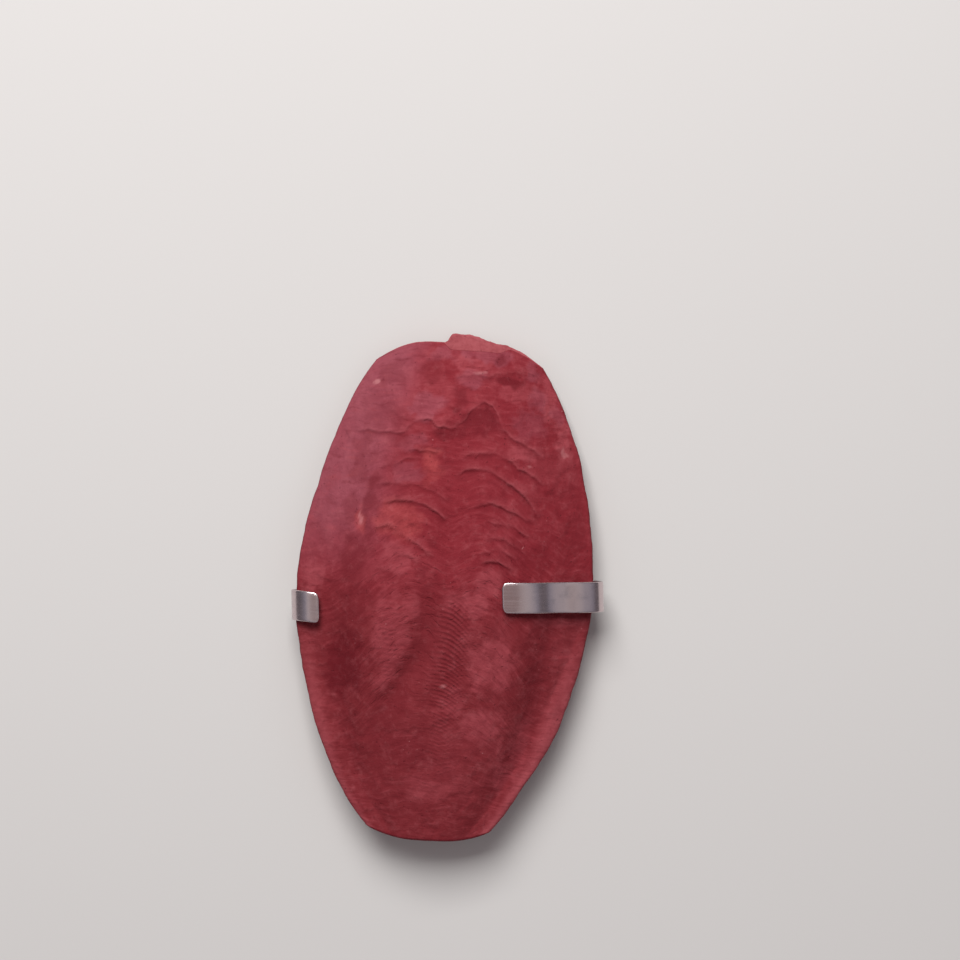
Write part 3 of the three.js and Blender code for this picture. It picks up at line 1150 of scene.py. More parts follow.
@dataclass(frozen=True)
class Striae:
    """Fine lines of the crowded rear plates: a column beside the rear groove and a faint left patch."""

    x: float = 2.2
    drift: float = 0.09
    drift_from: float = 12.0
    breadth: float = 3.0
    share: float = 1.4
    begin: Span = (0.0, 5.0)
    fade: Span = (11.0, 36.0)
    fade_share: float = 0.9
    loose: float = 0.24
    loose_over: Span = (-14.0, 0.0)
    sag: float = 0.07
    sag_from: float = 3.0
    wobble: float = 0.2
    wobble_size: float = 3.0
    left_x: float = -10.0
    left_breadth: float = 2.6
    left_share: float = 0.5
    left_begin: Span = (0.0, 4.0)
    left_end: Span = (14.0, 20.0)

    def beside(self, x: np.ndarray, y: np.ndarray) -> np.ndarray:
        """Distance to the right of the column's middle, which drifts to the left as it runs back."""
        return x - self.x + self.drift * np.maximum(-y - self.drift_from, 0.0)

    def lines(self, x: np.ndarray, y: np.ndarray) -> np.ndarray:
        """Where each place lies among the lines.

        Args:
            x: Places across.
            y: Places along.

        Returns:
            Places along the bone, spread a little at its middle, that sag to the right and wobble.
        """
        spread = y - self.loose * np.clip(y, *self.loose_over)
        sag = self.sag * np.square(np.maximum(self.beside(x, y) + self.sag_from, 0.0))
        return spread + sag + self.wobble * rough(x, y, self.wobble_size, Seed.STRIA, 2)

    def strength(self, x: np.ndarray, y: np.ndarray) -> np.ndarray:
        """How plain the lines are.

        Args:
            x: Places across.
            y: Places along.

        Returns:
            The larger of two bells across the bone, each fading at its ends.
        """
        column = self.share * hump(self.beside(x, y), self.breadth) * smoothstep(-y, *self.begin)
        left = self.left_share * hump(x - self.left_x, self.left_breadth) * smoothstep(-y, *self.left_begin)
        column = column * (1.0 - self.fade_share * smoothstep(-y, *self.fade))
        return np.maximum(column, left * (1.0 - smoothstep(-y, *self.left_end)))


@dataclass(frozen=True)
class DyeShades:
    """Where the dye is pale, deep, lilac or chipped away on the belly, with painted shade, crest highlights
    and a lilac reflection on the left flank. Sizes are in millimetres.
    """

    flakes: Flakes = Flakes()
    striae: Striae = Striae()

    deep_patches: tuple[Patch, ...] = patch_rows(
        (-4.8, 42.4, 2.8, 3.0, 0.4), (10.4, 41.6, 4.4, 1.3, 0.8), (8.6, 45.6, 1.5, 1.0, 0.7),
        (0.8, 37.8, 1.7, 2.8, 0.6), (0.3, 35.2, 1.6, 1.0, 0.8), (0.0, 30.2, 5.8, 1.5, 0.6),
        (5.0, 33.2, 4.4, 3.2, 0.7), (-15.2, 17.6, 2.0, 5.0, 0.6), (-15.6, 7.6, 2.2, 2.6, 0.4),
        (-15.2, 11.0, 1.8, 3.0, 0.4), (-16.4, 36.0, 2.2, 2.6, 0.25), (-1.9, 8.3, 1.3, 1.1, 0.5),
        (-4.0, 2.8, 1.1, 1.7, 0.5), (14.6, 7.0, 7.0, 3.0, 0.3), (-18.0, 5.0, 3.4, 5.5, 0.6),
        (-17.0, -4.0, 3.6, 5.0, 0.6), (-18.4, 23.4, 1.8, 4.0, 0.45), (-12.0, 41.4, 3.6, 3.0, 0.35),
        (-13.2, 33.2, 5.4, 3.4, 0.35), (-8.6, 29.0, 3.2, 1.4, 0.3), (-17.8, 27.4, 2.0, 2.4, 0.35),
        (-19.0, 14.4, 2.0, 3.0, 0.4), (-15.6, 24.6, 2.2, 2.0, 0.3), (23.6, -22.0, 1.5, 3.4, 0.35),
        (-18.6, -15.4, 4.8, 8.4, 1.0), (18.7, -14.0, 3.6, 8.0, 0.4), (-3.0, -8.0, 2.0, 6.0, 0.3),
        (-7.6, -20.0, 2.4, 6.0, 0.35), (-5.2, -31.2, 4.4, 4.2, 0.45),
    )
    rosy_patches: tuple[Patch, ...] = patch_rows(
        (2.6, 44.6, 4.2, 2.0, 0.9), (-8.3, 46.4, 6.0, 1.6, 0.15), (-14.3, 28.4, 3.6, 1.0, 0.7),
        (14.5, 27.0, 3.4, 1.5, 0.8), (18.6, 38.5, 2.0, 6.0, 0.9), (22.4, 30.0, 2.0, 5.0, 0.9),
        # The patch at (23.5, -5.6) is painted light: it lightens the strip's shadow on the belly.
        (-25.4, 0.4, 2.4, 4.0, 0.8), (23.5, -5.6, 7.0, 1.5, 0.6), (6.0, -2.0, 3.0, 2.8, 0.9),
        (-9.1, 5.9, 3.6, 3.5, 0.7), (8.9, 1.9, 3.5, 3.0, 0.7), (12.4, 39.4, 5.0, 2.4, 0.7),
        (-9.8, -8.6, 4.0, 9.0, 0.65), (9.8, -14.5, 5.0, 6.0, 0.7), (3.0, -21.4, 2.6, 3.2, 0.5),
        (16.2, -31.0, 2.2, 7.0, 0.5), (13.8, -36.8, 2.4, 3.2, 0.5), (-6.4, -4.0, 2.6, 3.4, 0.6),
        (1.4, -2.6, 2.6, 2.4, 0.5), (-10.4, -16.6, 3.0, 3.6, 0.6), (8.8, -26.2, 5.0, 3.2, 0.65),
        (-1.2, -39.2, 5.0, 3.2, 0.45),
    )
    hazy_patches: tuple[Patch, ...] = patch_rows(
        (-14.6, 35.2, 4.2, 4.0, 0.5), (-7.4, 28.6, 3.4, 2.2, 0.5), (4.4, 46.2, 3.4, 1.6, 0.6),
        (-5.6, 35.4, 4.4, 2.8, 0.6), (20.6, 34.8, 2.0, 3.2, 0.4), (3.4, 41.2, 3.2, 2.0, 0.6),
        (16.0, 37.6, 2.2, 3.0, 0.5), (-9.0, 22.4, 3.8, 2.6, 0.6), (15.8, 43.4, 2.4, 2.2, 0.5),
        (14.2, 32.6, 4.0, 3.4, 0.35), (8.8, 45.8, 2.4, 1.6, 0.6), (-3.0, 46.0, 3.4, 2.0, 0.5),
    )
    chip_patches: tuple[Patch, ...] = patch_rows(
        (-3.4, 25.0, 2.3, 1.6, 1.0), (-3.8, 22.2, 2.6, 2.8, 0.5), (-9.7, 13.0, 5.2, 4.0, 0.75),
        (-16.9, 12.8, 1.2, 2.6, 0.8),
    )
    bare_patches: tuple[Patch, ...] = patch_rows(
        (-16.1, 40.0, 1.2, 0.7, 0.9), (5.0, 42.4, 1.2, 0.5, 0.5), (15.6, 24.7, 0.7, 0.5, 0.6),
        (22.6, 27.3, 0.6, 0.9, 0.6), (0.5, -18.3, 0.6, 0.9, 0.6), (-16.8, 13.0, 0.5, 1.6, 0.8),
    )

    patch_tear: float = 0.7
    patch_tear_size: float = 2.2
    patch_bend: float = 1.8
    patch_bend_size: float = 5.0
    patch_edge: Span = (0.25, 0.75)

    rear_from: Span = (-8.0, 10.0)
    # Painted shade in the rear groove and the flank grooves.
    painted_groove_shade: float = 0.32
    flank_shade_share: float = 0.9
    # Painted shade below each ledge.
    painted_foot_shade: float = 0.8
    right_rim: Span = (0.8, 0.93)
    right_rim_from: Span = (4.0, 26.0)
    left_rim: Span = (0.86, 0.96)
    left_rim_from: Span = (5.0, 25.0)
    left_rim_share: float = 0.7
    rosy_rim: float = 0.8
    worn_rim: float = 0.15
    # Wear and a painted highlight along each ledge crest.
    ledge_wear_and_highlight: float = 0.5
    rosy_flakes: float = 0.5
    plain_cover: float = 0.4
    flakes_from: Span = (20.0, 36.0)
    # Where a painted lilac reflection lies over the left flank.
    painted_sheen_across: Span = (0.25, 0.7)
    painted_sheen_from: Span = (-4.0, 18.0)
    lilac_and_sheen_share: float = 0.9
    scaly_from: Span = (-34.0, -14.0)
    scaly_to: Span = (4.0, 14.0)
    scaly_fade: float = 0.8
    scaly_sides: Span = (12.0, 18.0)

    def ragged(self, patches: tuple[Patch, ...], x: np.ndarray, y: np.ndarray) -> np.ndarray:
        """Strength of the strongest patch at each place: bells with ripples in their shape and borders.

        Args:
            patches: The patches.
            x: Places across.
            y: Places along.

        Returns:
            Strengths from 0 to 1.
        """
        torn = 1.0 + self.patch_tear * rough(x, y, self.patch_tear_size, Seed.PATCH_TEAR, 4)
        bent_x = x + self.patch_bend * rough(x, y, self.patch_bend_size, Seed.BEND_ACROSS, 3)
        bent_y = y + self.patch_bend * rough(x, y, self.patch_bend_size, Seed.BEND_ALONG, 3)
        total = np.zeros_like(x)
        for patch in patches:
            away = np.hypot((bent_x - patch.x) / patch.breadth, (bent_y - patch.y) / patch.length)
            share = smoothstep(torn * hump(away, 1.0), *self.patch_edge)
            total = np.maximum(total, patch.strength * share)
        return total

    def chips(self, x: np.ndarray, y: np.ndarray) -> np.ndarray:
        """1 where flakes have come off the belly."""
        return self.ragged(self.chip_patches, x, y)

    def masks(
        self,
        form: BoneForm,
        across: np.ndarray,
        x: np.ndarray,
        y: np.ndarray,
        worn: np.ndarray,
        shaded: np.ndarray,
    ) -> dict[str, np.ndarray]:
        """Strengths of the shades on the belly, and where fine lines run.

        Args:
            form: The bone's smooth form.
            across: Shares across the bone.
            x: Places across.
            y: Places along.
            worn: Shares of worn ledge crest, which also carry a painted highlight.
            shaded: Shares of foot below a ledge, where shade is painted.

        Returns:
            Masks and line places, by name.
        """
        # Painted shade in the rear groove and the flank grooves.
        grooves = np.maximum(form.sulcus(x, y), self.flank_shade_share * form.flank(across, y))
        rim_right = smoothstep(across, *self.right_rim) * smoothstep(-y, *self.right_rim_from)
        rim_left = self.left_rim_share * smoothstep(-across, *self.left_rim)
        rim = np.maximum(rim_right, rim_left * smoothstep(-y, *self.left_rim_from))
        cover = self.rosy_flakes * (self.flakes.cover(x, y) - self.plain_cover)
        # A painted lilac reflection over the left flank.
        left = smoothstep(-across, *self.painted_sheen_across) * smoothstep(y, *self.painted_sheen_from)
        scaly = smoothstep(y, *self.scaly_from) * (1.0 - self.scaly_fade * smoothstep(y, *self.scaly_to))
        rosy = np.maximum(self.rosy_rim * rim, self.ragged(self.rosy_patches, x, y))
        # Deep patches, and painted shade in the grooves.
        deep = np.maximum(self.painted_groove_shade * grooves, self.ragged(self.deep_patches, x, y))
        return {
            "rear": smoothstep(-y, *self.rear_from),
            "rosy": np.clip(rosy + cover * smoothstep(y, *self.flakes_from), 0.0, 1.0),
            "haze": np.maximum(self.lilac_and_sheen_share * left, self.ragged(self.hazy_patches, x, y)),
            "worn": np.clip(self.ledge_wear_and_highlight * worn + self.worn_rim * rim, 0.0, 1.0),
            # Deep patches, with painted shade in the grooves and below each ledge.
            "pooled": np.clip(deep + self.painted_foot_shade * shaded, 0.0, 1.0),
            "bare": self.ragged(self.bare_patches, x, y),
            "chip": self.chips(x, y),
            "stria": self.striae.lines(x, y),
            "calm": form.sulcus(x, y),
            "striated": self.striae.strength(x, y),
            "scaly": (1.0 - smoothstep(np.abs(x), *self.scaly_sides)) * scaly,
        }


@dataclass
class Cuttlebone:
    """The bone: its smooth form with broken plates on the belly, snapped off at its front end."""

    origin: Span
    form: BoneForm = BoneForm()
    relief: PlateRelief = PlateRelief()
    shades: DyeShades = DyeShades()
    finish: DyedChalk = DyedChalk()

    splinter_length: float = 2.0
    splinter_thickness: float = 1.3
    splinter_from: Span = (-0.21, -0.1)
    splinter_to: Span = (0.1, 0.5)
    splinter_jag: Span = (0.05, 0.25)
    splinter_jag_size: float = 2.4
    splinter_jag_spread: float = 16.0
    snap_slope: float = 0.15
    snap_edge: Span = (0.25, 0.6)
    snap_taper: float = 0.9
    snap_taper_power: int = 6
    snap_tear: float = 0.25
    snap_tear_size: float = 1.5
    snap_tear_spread: float = 6.0
    rim_share: float = 0.97
    tip_reach: float = 0.25
    tip_turn: float = 0.45 * math.pi
    rear_tuck: float = 0.9
    rear_taper: float = 0.98
    rear_taper_power: int = 4
    rear_turn: float = 0.46 * math.pi
    layers_per_stria: float = 1.5
    growth_curve: float = 0.02
    splinter_notch: float = 1.4
    notch_blend: float = 4.0
    notch_span: tuple[float, float, float, float] = (-0.25, -0.1, 0.5, 0.75)

    wander: float = 0.9
    wander_size: float = 6.0
    swell: float = 0.3
    swell_size: float = 13.0
    crease: float = 0.1
    crease_size: float = 3.0
    flake_height: float = 0.2
    belly_edge: Span = (0.9, 0.99)
    back_edge: Span = (0.8, 0.97)
    pit_height: float = 0.14
    pit_size: float = 1.8
    furrow_height: float = 0.35
    furrow_x: float = 6.0
    furrow_breadth: float = 2.4
    rim_wear_depth: float = 0.3
    rim_wear_inward: float = 0.15
    rim_wear_size: float = 6.0
    rim_wear_power: int = 10
    rims_apart: float = 40.0

    rosy_break: float = 0.8
    worn_splinter: float = 0.75
    deep_break: float = 0.35

    rows: int = 384
    row_fineness: int = 8
    crowding: float = 0.8
    crowded_from: Span = (-8.0, 0.0)
    crowded_to: Span = (38.0, 46.0)
    belly_columns: int = 176
    back_columns: int = 44
    cap_rows: int = 8
    snap_rows: int = 12
    tip_rows: int = 4

    def rows_along(self) -> np.ndarray:
        """Where the rows cross the lobes, nearly twice as close together among the ledges as elsewhere."""
        first, last = self.form.rear_end + self.rear_tuck, self.form.front_end
        even = np.linspace(first, last, self.row_fineness * self.rows)
        crowded = self.crowding * smoothstep(even, *self.crowded_from)
        count = np.cumsum(1.0 + crowded * (1.0 - smoothstep(even, *self.crowded_to)))
        return np.interp(np.linspace(count[0], count[-1], self.rows), count, even)

    def columns(self, count: int) -> np.ndarray:
        """Shares from rim to rim, closer together towards the rims: half even steps, half a sine."""
        share = np.linspace(-1.0, 1.0, count + 1)
        return 0.5 * share + 0.5 * np.sin(0.5 * math.pi * share)

    def ring_columns(self) -> np.ndarray:
        """Shares of a whole ring: over the belly from left to right, then back below."""
        return np.concatenate([self.columns(self.belly_columns), self.columns(self.back_columns)[-2:0:-1]])

    def rim_wear(self, y: np.ndarray, across: np.ndarray) -> np.ndarray:
        """How far the rim is worn in or out, sideways, fading away inside it."""
        side = np.sign(across) * self.rims_apart
        worn = self.rim_wear_depth * rough(side, y, self.rim_wear_size, Seed.RIM, 4) - self.rim_wear_inward
        return np.sign(across) * np.abs(across) ** self.rim_wear_power * worn

    def notch(self, across: np.ndarray) -> np.ndarray:
        """How far the plates are broken back above the splinter."""
        begin, full, ebb, end = self.notch_span
        return self.splinter_notch * smoothstep(across, begin, full) * (1.0 - smoothstep(across, ebb, end))

    def belly_sheet(self, along: np.ndarray) -> tuple[np.ndarray, dict[str, np.ndarray]]:
        """The belly on a grid: rows follow the plates' edges and columns run from rim to rim.

        Args:
            along: Where each row crosses the lobes.

        Returns:
            Places with a last axis of x, y and z, and the masks that the finish reads.
        """
        row, across = np.meshgrid(along, self.columns(self.belly_columns), indexing="ij")
        y = self.form.plate_line(row, across) + self.form.end_rounding(row, across)
        front_end = self.form.front_end
        y -= self.notch(across) * smoothstep(row, front_end - self.notch_blend, front_end)
        x = self.form.side(across, y)
        wander = self.wander * rough(x, y, self.wander_size, Seed.WANDER, 4)
        relief, worn, shaded = self.relief.build(x, y)
        inside = 1.0 - smoothstep(np.abs(across), *self.belly_edge)
        swell = self.swell * rough(x, y, self.swell_size, Seed.SWELL, 3)
        crease = self.crease * rough(x, y, self.crease_size, Seed.CREASE, 4)
        flakes, chips = self.shades.flakes.cover(x, y), self.shades.chips(x, y)
        layers = self.flake_height * flakes - self.flake_height * chips
        z = self.form.belly_height(across, x, y) + inside * (relief + (swell + crease) + layers)
        masks = self.shades.masks(self.form, across, x, y, worn, shaded)
        masks["place"] = row + self.form.bite(row, across) + wander
        return np.stack([x + self.rim_wear(y, across), y, z], axis=-1), masks

    def back_sheet(self, along: np.ndarray) -> np.ndarray:
        """The back on a grid, from just inside the right rim to just inside the left.

        Args:
            along: Where each row crosses the lobes.

        Returns:
            Places with a last axis of x, y and z: the smooth back, pitted and with two faint furrows.
        """
        row, across = np.meshgrid(along, self.columns(self.back_columns)[-2:0:-1], indexing="ij")
        y = self.form.plate_line(row, np.ones_like(row)) + self.form.end_rounding(row, across)
        x = self.form.side(across, y)
        inside = 1.0 - smoothstep(np.abs(across), *self.back_edge)
        pits = self.pit_height * (1.0 + rough(x, y, self.pit_size, Seed.PITS, 3))
        furrows = self.furrow_height * hump(np.abs(x) - self.furrow_x, self.furrow_breadth)
        z = self.form.back_height(across, y) + inside * (pits + furrows)
        return np.stack([x + self.rim_wear(y, across), y, z], axis=-1)

    def splinter(self, across: np.ndarray) -> np.ndarray:
        """How far the hard back stands past the broken front end, jagged and longest near the middle."""
        begun = smoothstep(across, *self.splinter_from)
        left, right = self.snap_edge
        edge = left + (right - left) * begun
        share = begun * (1.0 - smoothstep(across, *self.splinter_to))
        spread = across * self.splinter_jag_spread
        jags = rough(spread, np.zeros_like(across), self.splinter_jag_size, Seed.SPLINTER, 4)
        least, more = self.splinter_jag
        return edge + (self.splinter_length - edge) * share + (least + more * begun) * jags

    def front_rows(self, belly: np.ndarray, back: np.ndarray) -> np.ndarray:
        """Rings past the front end: down the broken face, out along the splinter, and round its edge.

        Args:
            belly: The belly's last row.
            back: The back's last row, from right to left.

        Returns:
            Rings, one a row, with the belly's corners first.
        """
        under = np.interp(belly[:, 0], back[::-1, 0], back[::-1, 2])
        shelf = np.minimum(belly[:, 2], under + self.splinter_thickness)
        across = self.ring_columns()
        taper = 1.0 - self.snap_taper * np.abs(across) ** self.snap_taper_power
        whole = np.concatenate([belly, back])
        floor = np.concatenate([shelf, back[:, 2]])
        middle = np.concatenate([0.5 * (shelf + under), back[:, 2] + 0.5 * self.splinter_thickness])
        middle = np.where(np.abs(across) > self.rim_share, floor, middle)

        down = np.linspace(0.0, 1.0, self.snap_rows + 1)[1:, None]
        face_x, depth = np.broadcast_arrays(whole[:, 0], self.snap_tear_spread * down)
        torn = self.snap_tear * rough(face_x, depth, self.snap_tear_size, Seed.SNAPPED_FACE, 4)
        face_y = whole[:, 1] + taper * (self.snap_slope * down + torn * np.sin(math.pi * down))
        face_z = whole[:, 2] + (floor - whole[:, 2]) * down

        out = np.linspace(0.0, 1.0, self.cap_rows + 1)[1:, None]
        length = self.splinter(across) - self.snap_slope
        length[: len(belly)] += self.notch(self.columns(self.belly_columns))
        shelf_y = whole[:, 1] + taper * (self.snap_slope + length * out)
        shelf_z = floor + 0 * out

        turn = np.linspace(0.0, self.tip_turn, self.tip_rows + 1)[1:, None]
        tip_y = shelf_y[-1] + self.tip_reach * taper * np.sin(turn)
        tip_z = middle + (floor - middle) * np.cos(turn)

        rings_y = np.concatenate([face_y, shelf_y, tip_y])
        rings_z = np.concatenate([face_z, shelf_z, tip_z])
        return np.stack([np.broadcast_to(whole[:, 0], rings_y.shape), rings_y, rings_z], axis=-1)

    def rear_rows(self, ring: np.ndarray) -> np.ndarray:
        """Rings round the worn rear edge, from its middle line out to the first full ring.

        Args:
            ring: The first full ring.

        Returns:
            Rings, one a row, tucked in by a quarter turn and less towards the corners.
        """
        belly = ring[: self.belly_columns + 1]
        back = ring[self.belly_columns + 1:]
        under = np.interp(belly[:, 0], back[::-1, 0], back[::-1, 2])
        over = np.interp(back[:, 0], belly[:, 0], belly[:, 2])
        middle = 0.5 * np.concatenate([belly[:, 2] + under, back[:, 2] + over])
        middle[[0, self.belly_columns]] = belly[[0, -1], 2]
        across = self.ring_columns()
        tuck = self.rear_tuck * np.sqrt(1.0 - self.rear_taper * np.abs(across) ** self.rear_taper_power)
        turn = np.linspace(self.rear_turn, 0.0, self.cap_rows + 1)[:-1, None]
        y = ring[:, 1] - tuck * np.sin(turn)
        z = middle + (ring[:, 2] - middle) * np.cos(turn)
        return np.stack([np.broadcast_to(ring[:, 0], y.shape), y, z], axis=-1)

    def end_faces(self, start: int, forward: bool) -> list[np.ndarray]:
        """Faces that close one end: each spans one step of the back and the steps of the belly above it.

        Args:
            start: Number of the ring's first corner.
            forward: Whether they face the front end.

        Returns:
            Groups of faces, one face a row.
        """
        step = self.belly_columns // self.back_columns
        groups = []
        for index in range(self.back_columns):
            top = np.arange(step * index, step * (index + 1) + 1)
            below = [self.belly_columns + self.back_columns - place for place in (index + 1, index)]
            if index == 0:
                below = below[:1]
            elif index == self.back_columns - 1:
                below = below[1:]
            corners = start + np.concatenate([top, below])
            groups.append(corners[None, :] if forward else corners[None, ::-1])
        return groups

    def build(self) -> bpy.types.Object:
        """Builds and dresses the bone in place of its solid.

        Returns:
            The finished piece.
        """
        along = self.rows_along()
        belly, masks = self.belly_sheet(along)
        back = self.back_sheet(along)
        main = np.concatenate([belly, back], axis=1)
        front = self.front_rows(belly[-1], back[-1])
        rear = self.rear_rows(main[0])
        rings = np.concatenate([rear, main, front])
        count, corners = rings.shape[:2]

        values = {}
        for name, mask in masks.items():
            whole = np.zeros((count, corners))
            whole[len(rear): len(rear) + self.rows, : self.belly_columns + 1] = mask
            values[name] = whole
        face = len(rear) + self.rows
        shelf = face + self.snap_rows
        values["rosy"][face:] = self.rosy_break
        values["worn"][shelf:] = self.worn_splinter
        values["pooled"][face:shelf, : self.belly_columns + 1] = self.deep_break
        values["striated"][face:shelf] = 1.0
        values["stria"][face:shelf] = self.layers_per_stria * rings[face:shelf, :, 2]
        growth = rings[..., 1] + self.growth_curve * np.square(rings[..., 0])
        values["place"] = np.where(values["place"] == 0.0, growth, values["place"])

        points = rings.reshape(-1, 3) + np.array([*self.origin, 0.0])
        faces = [ring_faces(count, corners)]
        faces += self.end_faces(0, forward=False)
        faces += self.end_faces((count - 1) * corners, forward=True)
        piece = make_mesh("dyed_cuttlebone", points, faces, values)
        piece.data.materials.append(self.finish.material())
        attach(piece, BODY)
        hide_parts("cuttlebone")
        LOG.info("cuttlebone: %d faces", len(piece.data.polygons))
        return piece


@dataclass
class Clip:
    """A strip of soft aluminium that runs under the bone and folds over both of its edges.

    Sizes are in millimetres. The route's points are along the strip, sideways and up, from the end of
    the straight run out to each tip.
    """

    origin: Span
    ahead: float = -2.6
    width: float = 6.0
    thickness: float = 0.5
    tip_radius: float = 1.0
    skew: float = math.radians(4.7)
    flat: float = 9.0
    left_fold: tuple[Point, ...] = (
        (-11.0, 0.0, 0.4), (-15.0, 0.0, 1.2), (-20.0, 0.0, 2.45), (-24.0, 0.0, 3.6), (-27.0, 0.0, 4.8),
        (-29.1, 0.0, 6.2), (-29.8, 0.1, 8.2), (-29.1, 0.1, 10.3), (-27.0, -0.1, 11.8),
        (-24.3, -0.5, 12.3),
    )
    right_fold: tuple[Point, ...] = (
        (11.0, 0.0, 0.4), (15.0, 0.0, 1.2), (20.0, 0.0, 2.45), (24.0, 0.0, 3.6), (27.5, 0.0, 4.9),
        (30.3, 0.0, 6.4), (31.3, 0.0, 8.5), (30.4, 0.05, 10.8), (27.5, 0.15, 12.3), (23.5, 0.3, 13.3),
        (20.6, 0.4, 14.3), (18.0, 0.5, 15.8), (14.8, 0.65, 16.7), (11.5, 0.8, 17.0),
    )
    steps: int = 130
    side_steps: int = 10
    edge_steps: int = 6
    finish: RolledAluminium = RolledAluminium()

    def route(self) -> np.ndarray:
        """Middle of the strip from its left tip to its right one."""
        level = self.thickness / 2.0
        left = smooth_curve(np.array([(-self.flat, 0.0, level), *self.left_fold]), self.steps)
        right = smooth_curve(np.array([(self.flat, 0.0, level), *self.right_fold]), self.steps)
        return np.concatenate([left[::-1], right])

    def section(self) -> np.ndarray:
        """Outline of the strip's section: a flat bar whose two edges are half round.

        Returns:
            Shares of the half width and of the half thickness, one corner a row.
        """
        side = np.linspace(1.0, -1.0, self.side_steps + 1)
        turn = np.linspace(0.0, math.pi, self.edge_steps + 1)[1:-1]
        core = 1.0 - self.thickness / self.width
        top = np.stack([side * core, np.ones_like(side)], axis=1)
        left = np.stack([-core - (1.0 - core) * np.sin(turn), np.cos(turn)], axis=1)
        return np.concatenate([top, left, -top, -left])

    def build(self) -> bpy.types.Object:
        """Carries the section along the route, narrowing it at the two tips, and dresses it.

        Returns:
            The finished piece.
        """
        route = self.route()
        ways = np.gradient(route, axis=0)
        ways[:, 1] = 0.0
        ways /= np.linalg.norm(ways, axis=1)[:, None]
        through = np.stack([-ways[:, 2], np.zeros(len(ways)), ways[:, 0]], axis=1)
        run = np.concatenate([[0.0], np.cumsum(np.linalg.norm(np.diff(route, axis=0), axis=1))])
        to_tip = np.minimum(run, run[-1] - run)
        cut = np.clip(1.0 - to_tip / self.tip_radius, 0.0, 1.0)
        half = self.width / 2.0 - self.tip_radius * (1.0 - np.sqrt(1.0 - cut**2))

        section = self.section()
        side = section[:, 0] * half[:, None]
        lift = section[:, 1] * self.thickness / 2.0
        rings = route[:, None, :] + lift[None, :, None] * through[:, None, :]
        rings[:, :, 1] += side
        count, corners = rings.shape[:2]
        turned = rings.copy()
        turned[..., 0] = rings[..., 0] * math.cos(self.skew) - rings[..., 1] * math.sin(self.skew)
        turned[..., 1] = rings[..., 0] * math.sin(self.skew) + rings[..., 1] * math.cos(self.skew)
        points = turned.reshape(-1, 3) + np.array([*self.origin, 0.0])

        first = np.arange(corners)[None, :]
        faces = [ring_faces(count, corners), first[:, ::-1], first + (count - 1) * corners]
        piece = make_mesh("bent_strip", points, faces, {})
        self.add_map(piece, np.broadcast_to(run[:, None], side.shape), side)
        piece.data.materials.append(self.finish.material())
        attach(piece, BODY)
        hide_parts("clip")
        LOG.info("clip: %d faces, %.0f mm of strip", len(piece.data.polygons), run[-1])
        return piece

    @staticmethod
    def add_map(piece: bpy.types.Object, run: np.ndarray, side: np.ndarray) -> None:
        """Gives the strip a map that follows it, in metres.

        Args:
            piece: The strip.
            run: Distance of each corner from the left tip.
            side: Distance of each corner from the middle line.
        """
        corners = np.zeros(len(piece.data.loops), dtype=np.int32)
        piece.data.loops.foreach_get("vertex_index", corners)
        places = np.stack([run.ravel(), side.ravel()], axis=1)[corners] * MM
        layer = piece.data.uv_layers.new(name="strip")
        layer.uv.foreach_set("vector", places.astype(np.float32).ravel())


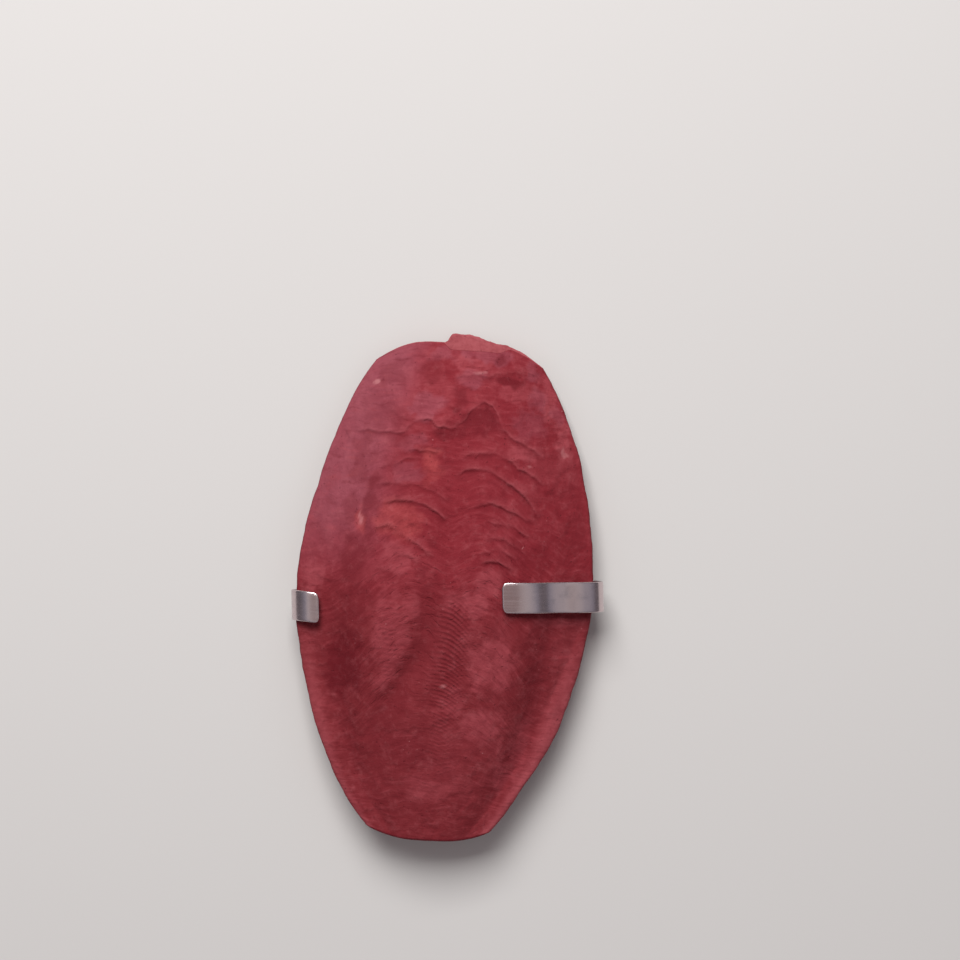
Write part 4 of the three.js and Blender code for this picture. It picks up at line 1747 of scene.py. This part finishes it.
@dataclass
class Studio:
    """Pale floor, soft light from the front end's side and a camera straight above. Sizes in metres."""

    floor_half: float = 3.0
    floor_drop: float = 0.00005
    floor_colour: Colour = tint(204, 201, 198)
    floor_roughness: float = 0.9
    floor_specular: float = 0.2
    key_place: Point = (-0.12, 0.46, 0.62)
    key_size: float = 0.42
    key_power: float = 7.0
    sky_colour: Colour = (0.87, 0.83, 0.82)
    haze_colour: Colour = (0.47, 0.48, 0.57)
    zenith_colour: Colour = (0.42, 0.31, 0.30)
    wall_colour: Colour = (0.24, 0.22, 0.24)
    sky_stops: tuple[float, ...] = (0.0, 0.42, 0.63, 0.88, 0.95)
    sky_strength: float = 0.585
    camera_place: Point = (0.00516, 0.02115, 0.3575)
    camera_roll: float = math.radians(3.1)
    camera_lens: float = 66.3
    camera_clip: float = 0.01

    def floor(self) -> bpy.types.Object:
        """Lays the floor just under the part."""
        corners = np.array([(-1.0, -1.0), (1.0, -1.0), (1.0, 1.0), (-1.0, 1.0)]) * self.floor_half / MM
        points = np.concatenate([corners, np.full((4, 1), -self.floor_drop / MM)], axis=1)
        piece = make_mesh("floor", points, [np.arange(4)[None, :]], {})
        material, shader = new_material("pale_floor")
        shader.surface({
            "Base Color": self.floor_colour,
            "Roughness": self.floor_roughness,
            "Specular IOR Level": self.floor_specular,
        })
        piece.data.materials.append(material)
        return piece

    def light(self) -> None:
        """Hangs one broad lamp and a sky that is bright high up, dim overhead and dark round the horizon."""
        lamp = bpy.data.lights.new("key", "AREA")
        lamp.size = self.key_size
        lamp.energy = self.key_power
        holder = bpy.data.objects.new("key", lamp)
        holder.location = self.key_place
        reach = math.hypot(self.key_place[0], self.key_place[1])
        aside = math.atan2(-self.key_place[0], self.key_place[1])
        holder.rotation_euler = (-math.atan2(reach, self.key_place[2]), 0.0, aside)
        bpy.context.scene.collection.objects.link(holder)

        world = bpy.data.worlds.new("studio")
        world.use_nodes = True
        bpy.context.scene.world = world
        shader = Shader(world.node_tree)
        place = shader.node("ShaderNodeTexCoord").outputs["Generated"]
        up = shader.node("ShaderNodeSeparateXYZ", None, {"Vector": place}).outputs["Z"]
        wall = self.wall_colour
        colours = (wall, wall, self.haze_colour, self.sky_colour, self.zenith_colour)
        stops = list(zip(self.sky_stops, colours))
        sky = shader.node("ShaderNodeValToRGB", {"stops": stops}, {"Fac": up}).outputs["Color"]
        glow = shader.node("ShaderNodeBackground", None, {"Color": sky, "Strength": self.sky_strength})
        shader.node("ShaderNodeOutputWorld", None, {"Surface": glow.outputs["Background"]})

    def camera(self) -> None:
        """Hangs the camera above the part, turned so that the bone leans a little to the right."""
        lens = bpy.data.cameras.new("camera")
        lens.lens = self.camera_lens
        lens.clip_start = self.camera_clip
        holder = bpy.data.objects.new("camera", lens)
        holder.location = self.camera_place
        holder.rotation_euler = (0.0, 0.0, self.camera_roll)
        bpy.context.scene.collection.objects.link(holder)
        bpy.context.scene.camera = holder

    def build(self) -> None:
        """Sets up the floor, light, camera and plain screen colours."""
        self.floor()
        self.light()
        self.camera()
        bpy.context.scene.view_settings.view_transform = "Standard"
        LOG.info("studio ready")


def write_sizes() -> None:
    """Updates the view layer."""
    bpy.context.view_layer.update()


def main() -> None:
    """Builds the bone, the clip and the studio in order."""
    logging.basicConfig(level=logging.INFO, format="%(name)s: %(message)s")
    clip_x, clip_y, _ = (value / MM for value in frame["record"]["mounts"][0]["pos_m"])
    clip = Clip(origin=(clip_x, clip_y))
    bone = Cuttlebone(origin=(clip_x, clip_y - clip.ahead))
    bone.build()
    clip.build()
    Studio().build()
    write_sizes()


if __name__ == "__main__":
    main()
